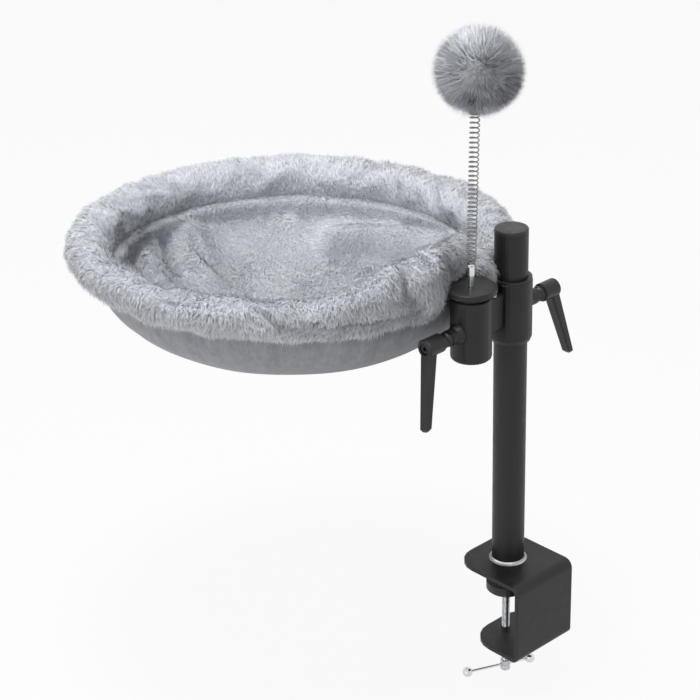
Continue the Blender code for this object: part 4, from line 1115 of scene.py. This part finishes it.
# The cover's colours are kept dark: partly its own grey, partly painted shade of the underside.
BAG_COLOURS = ((0.205, 0.21, 0.232), (0.325, 0.329, 0.353))
bag_finish, tree, shader = finish("bag_finish", BAG_COLOURS[1], 0.85, Specular_IOR_Level=0.2,
                                  Sheen_Weight=0.3, Sheen_Roughness=0.5)
upright = put(tree, "Mapping", {"Vector": place_of(tree), "Scale": BAG_STRETCH}).outputs["Vector"]
streaks = noise(tree, BAG_STREAKS[0], 5.0, 0.75, upright)
tint(tree, shader, streaks, (0.3, BAG_COLOURS[0]), (0.7, BAG_COLOURS[1]))
rough_up(tree, shader, streaks, BAG_STREAKS[1])
x, y, z = dish_grid(*BAG_SIZE, BAG_ROWS, BAG_ROUND)
spots = np.stack([np.arctan2(y, x).ravel() * BAG_REACH, 0 * x.ravel()], -1)
gathers = wander(spots, 51, BAG_GATHERS[1]).reshape(x.shape)
hang = ease(np.hypot(x, y), *BAG_EDGE)
shrink = 1 - BAG_GATHERS[0] * hang * (1 + gathers) / BAG_REACH
spots = np.stack([x.ravel(), y.ravel()], -1)
z = z - BAG_SAG[0] * wander(spots, 52, BAG_SAG[1]).reshape(x.shape)
bag = mesh_piece("underside_bag", on_bed(x * shrink, y * shrink, z).reshape(-1, 3),
                 grid_faces(BAG_ROWS, BAG_ROUND)[:, ::-1], bag_finish, "bed")
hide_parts("plush_bag")

# ---- Toy stem and spring ----
# A steel stem in the disc's middle ends in a crimped ferrule. The spring is plain bright wire,
# narrower and wound a little closer at its foot. The real one bends freely under the pompom; here
# it is built as one fixed coil.
PIVOT = (-0.061204, -0.006973)
TOY_TURN = radians(-43.2)
TOY_LEAN = radians(1.2)
FERRULE_TOP = 0.3390
SPRING_START = 0.3403
SPRING_WIRE = 0.00055
SPRING_RADIUS = 0.0043
SPRING_NECK = 0.0025
SPRING_TURNS = 34
SPRING_NECK_TURNS = 1.5
SPRING_PITCH = (0.0036, 0.0047)
SPRING_STEPS = 26
SPRING_SIDES = 7
# The wire is coloured darker than bright steel: painted shade for the dark reflections along its
# coils, with the finish's dull patches darker still.
SPRING_SHADED_COLOUR = (0.26, 0.26, 0.27)
SPRING_DULL_AND_SHADE = (0.16, 0.16, 0.17)
dress(zinc_plate, "toy_stem")
dress(chrome, "toy_ferrule")

step = np.arange(SPRING_TURNS * SPRING_STEPS + 1) / SPRING_STEPS
reach = SPRING_NECK + (SPRING_RADIUS - SPRING_NECK) * ease(step, 0, SPRING_NECK_TURNS)
gain = (SPRING_PITCH[1] - SPRING_PITCH[0]) / (2 * SPRING_TURNS)
height = SPRING_START - FERRULE_TOP + SPRING_PITCH[0] * step + gain * step * step
turns = 2 * pi * step
route = np.stack([reach * np.cos(turns), reach * np.sin(turns), height], -1)
ahead = unit(np.gradient(route, axis=0))
beside = unit(np.cross(ahead, np.array([0.0, 0.0, 1.0])))
above = np.cross(beside, ahead)
round_wire = np.linspace(0, 2 * pi, SPRING_SIDES, endpoint=False)
points = (route[:, None, :]
          + SPRING_WIRE * (beside[:, None, :] * np.cos(round_wire)[None, :, None]
                           + above[:, None, :] * np.sin(round_wire)[None, :, None]))
toy_frame = (Matrix.Translation((*PIVOT, 0)) @ Matrix.Rotation(TOY_TURN, 4, "Z")
             @ Matrix.Translation((0, 0, FERRULE_TOP)) @ Matrix.Rotation(TOY_LEAN, 4, "Y"))
toy_turn = np.array(toy_frame)
points = points.reshape(-1, 3) @ toy_turn[:3, :3].T + toy_turn[:3, 3]
spring_steel = plated("spring_steel", SPRING_SHADED_COLOUR, SPRING_DULL_AND_SHADE, 0.24)
spring = mesh_piece("spring_wire", points, capped_faces(len(route), SPRING_SIDES), spring_steel)
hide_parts("toy_spring")
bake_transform(spring)

# ---- Pompom ----
# A tuft of long fibres bound at its heart and clipped to a ball, with the plug's glue inside. Its
# fibres stand straight out and lean together here and there, and the dark roots and ground between
# them are painted shade inside the ball.
POMPOM_RADIUS = 0.0415
POMPOM_CORE = 0.0180
POMPOM_PLACE = (0.0025, 0.5213)
POMPOM_HEART = toy_frame @ Vector((POMPOM_PLACE[0], 0, POMPOM_PLACE[1] - FERRULE_TOP))
POMPOM_FIBRES = 60000
# The ground and the fibres' root colour are dark: painted shade inside the ball.
POMPOM_GROUND = ((0.36, 0.38, 0.43), (0.48, 0.50, 0.55))
POMPOM_COLOURS = ((0.36, 0.38, 0.43), (0.80, 0.83, 0.88), (0.93, 0.945, 0.97))
POMPOM_LUMPS = (0.06, 0.012)
POMPOM_SWIRL = 0.022
POMPOM_WIDTHS = (0.00025, 0.0005)
pompom_ground = plush_backing("pompom_ground", *POMPOM_GROUND)
shape = bmesh.new()
bmesh.ops.create_icosphere(shape, subdivisions=5, radius=POMPOM_CORE)
core = np.array([vert.co for vert in shape.verts])
hills = wander(core, 61, POMPOM_LUMPS[1])
for vert, hill in zip(shape.verts, hills):
    vert.co = vert.co * (1 + POMPOM_LUMPS[0] * hill) + POMPOM_HEART
pompom_mesh = bpy.data.meshes.new("pompom_heart")
shape.to_mesh(pompom_mesh)
shape.free()
pompom_mesh.materials.append(pompom_ground)
pompom_mesh.shade_smooth()
heart = add("pompom_heart", pompom_mesh)
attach(heart, "fluff")
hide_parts("pompom")
pompom_fibre = fibre("pompom_fibre", *POMPOM_COLOURS)
chance = np.random.default_rng(13)
roots, normals = scatter(heart, POMPOM_FIBRES, chance)
swirl = np.stack([wander(roots, seed, POMPOM_SWIRL) for seed in (71, 72, 73)], -1)
length = (POMPOM_RADIUS - POMPOM_CORE) * chance.uniform(0.72, 1.10, POMPOM_FIBRES)
lean = np.clip(0.26 + 0.10 * swirl[:, 0] + chance.normal(size=POMPOM_FIBRES) * 0.16, 0.02, 0.8)
width = chance.uniform(*POMPOM_WIDTHS, POMPOM_FIBRES)
tone = 0.55 + 0.10 * wander(roots, 74, 0.014) + chance.normal(size=POMPOM_FIBRES) * 0.20
lay = 0.7 * swirl + chance.normal(size=roots.shape)
pile("pompom_pile", heart, roots, normals, lay, lean, length, width, tone, chance, 10,
     0.12, pompom_fibre, scattered=0.75)

# ---- Last update ----
# The dressed part stays inside the solid model's box, but for the pile of its fabric.
bpy.context.view_layer.update()
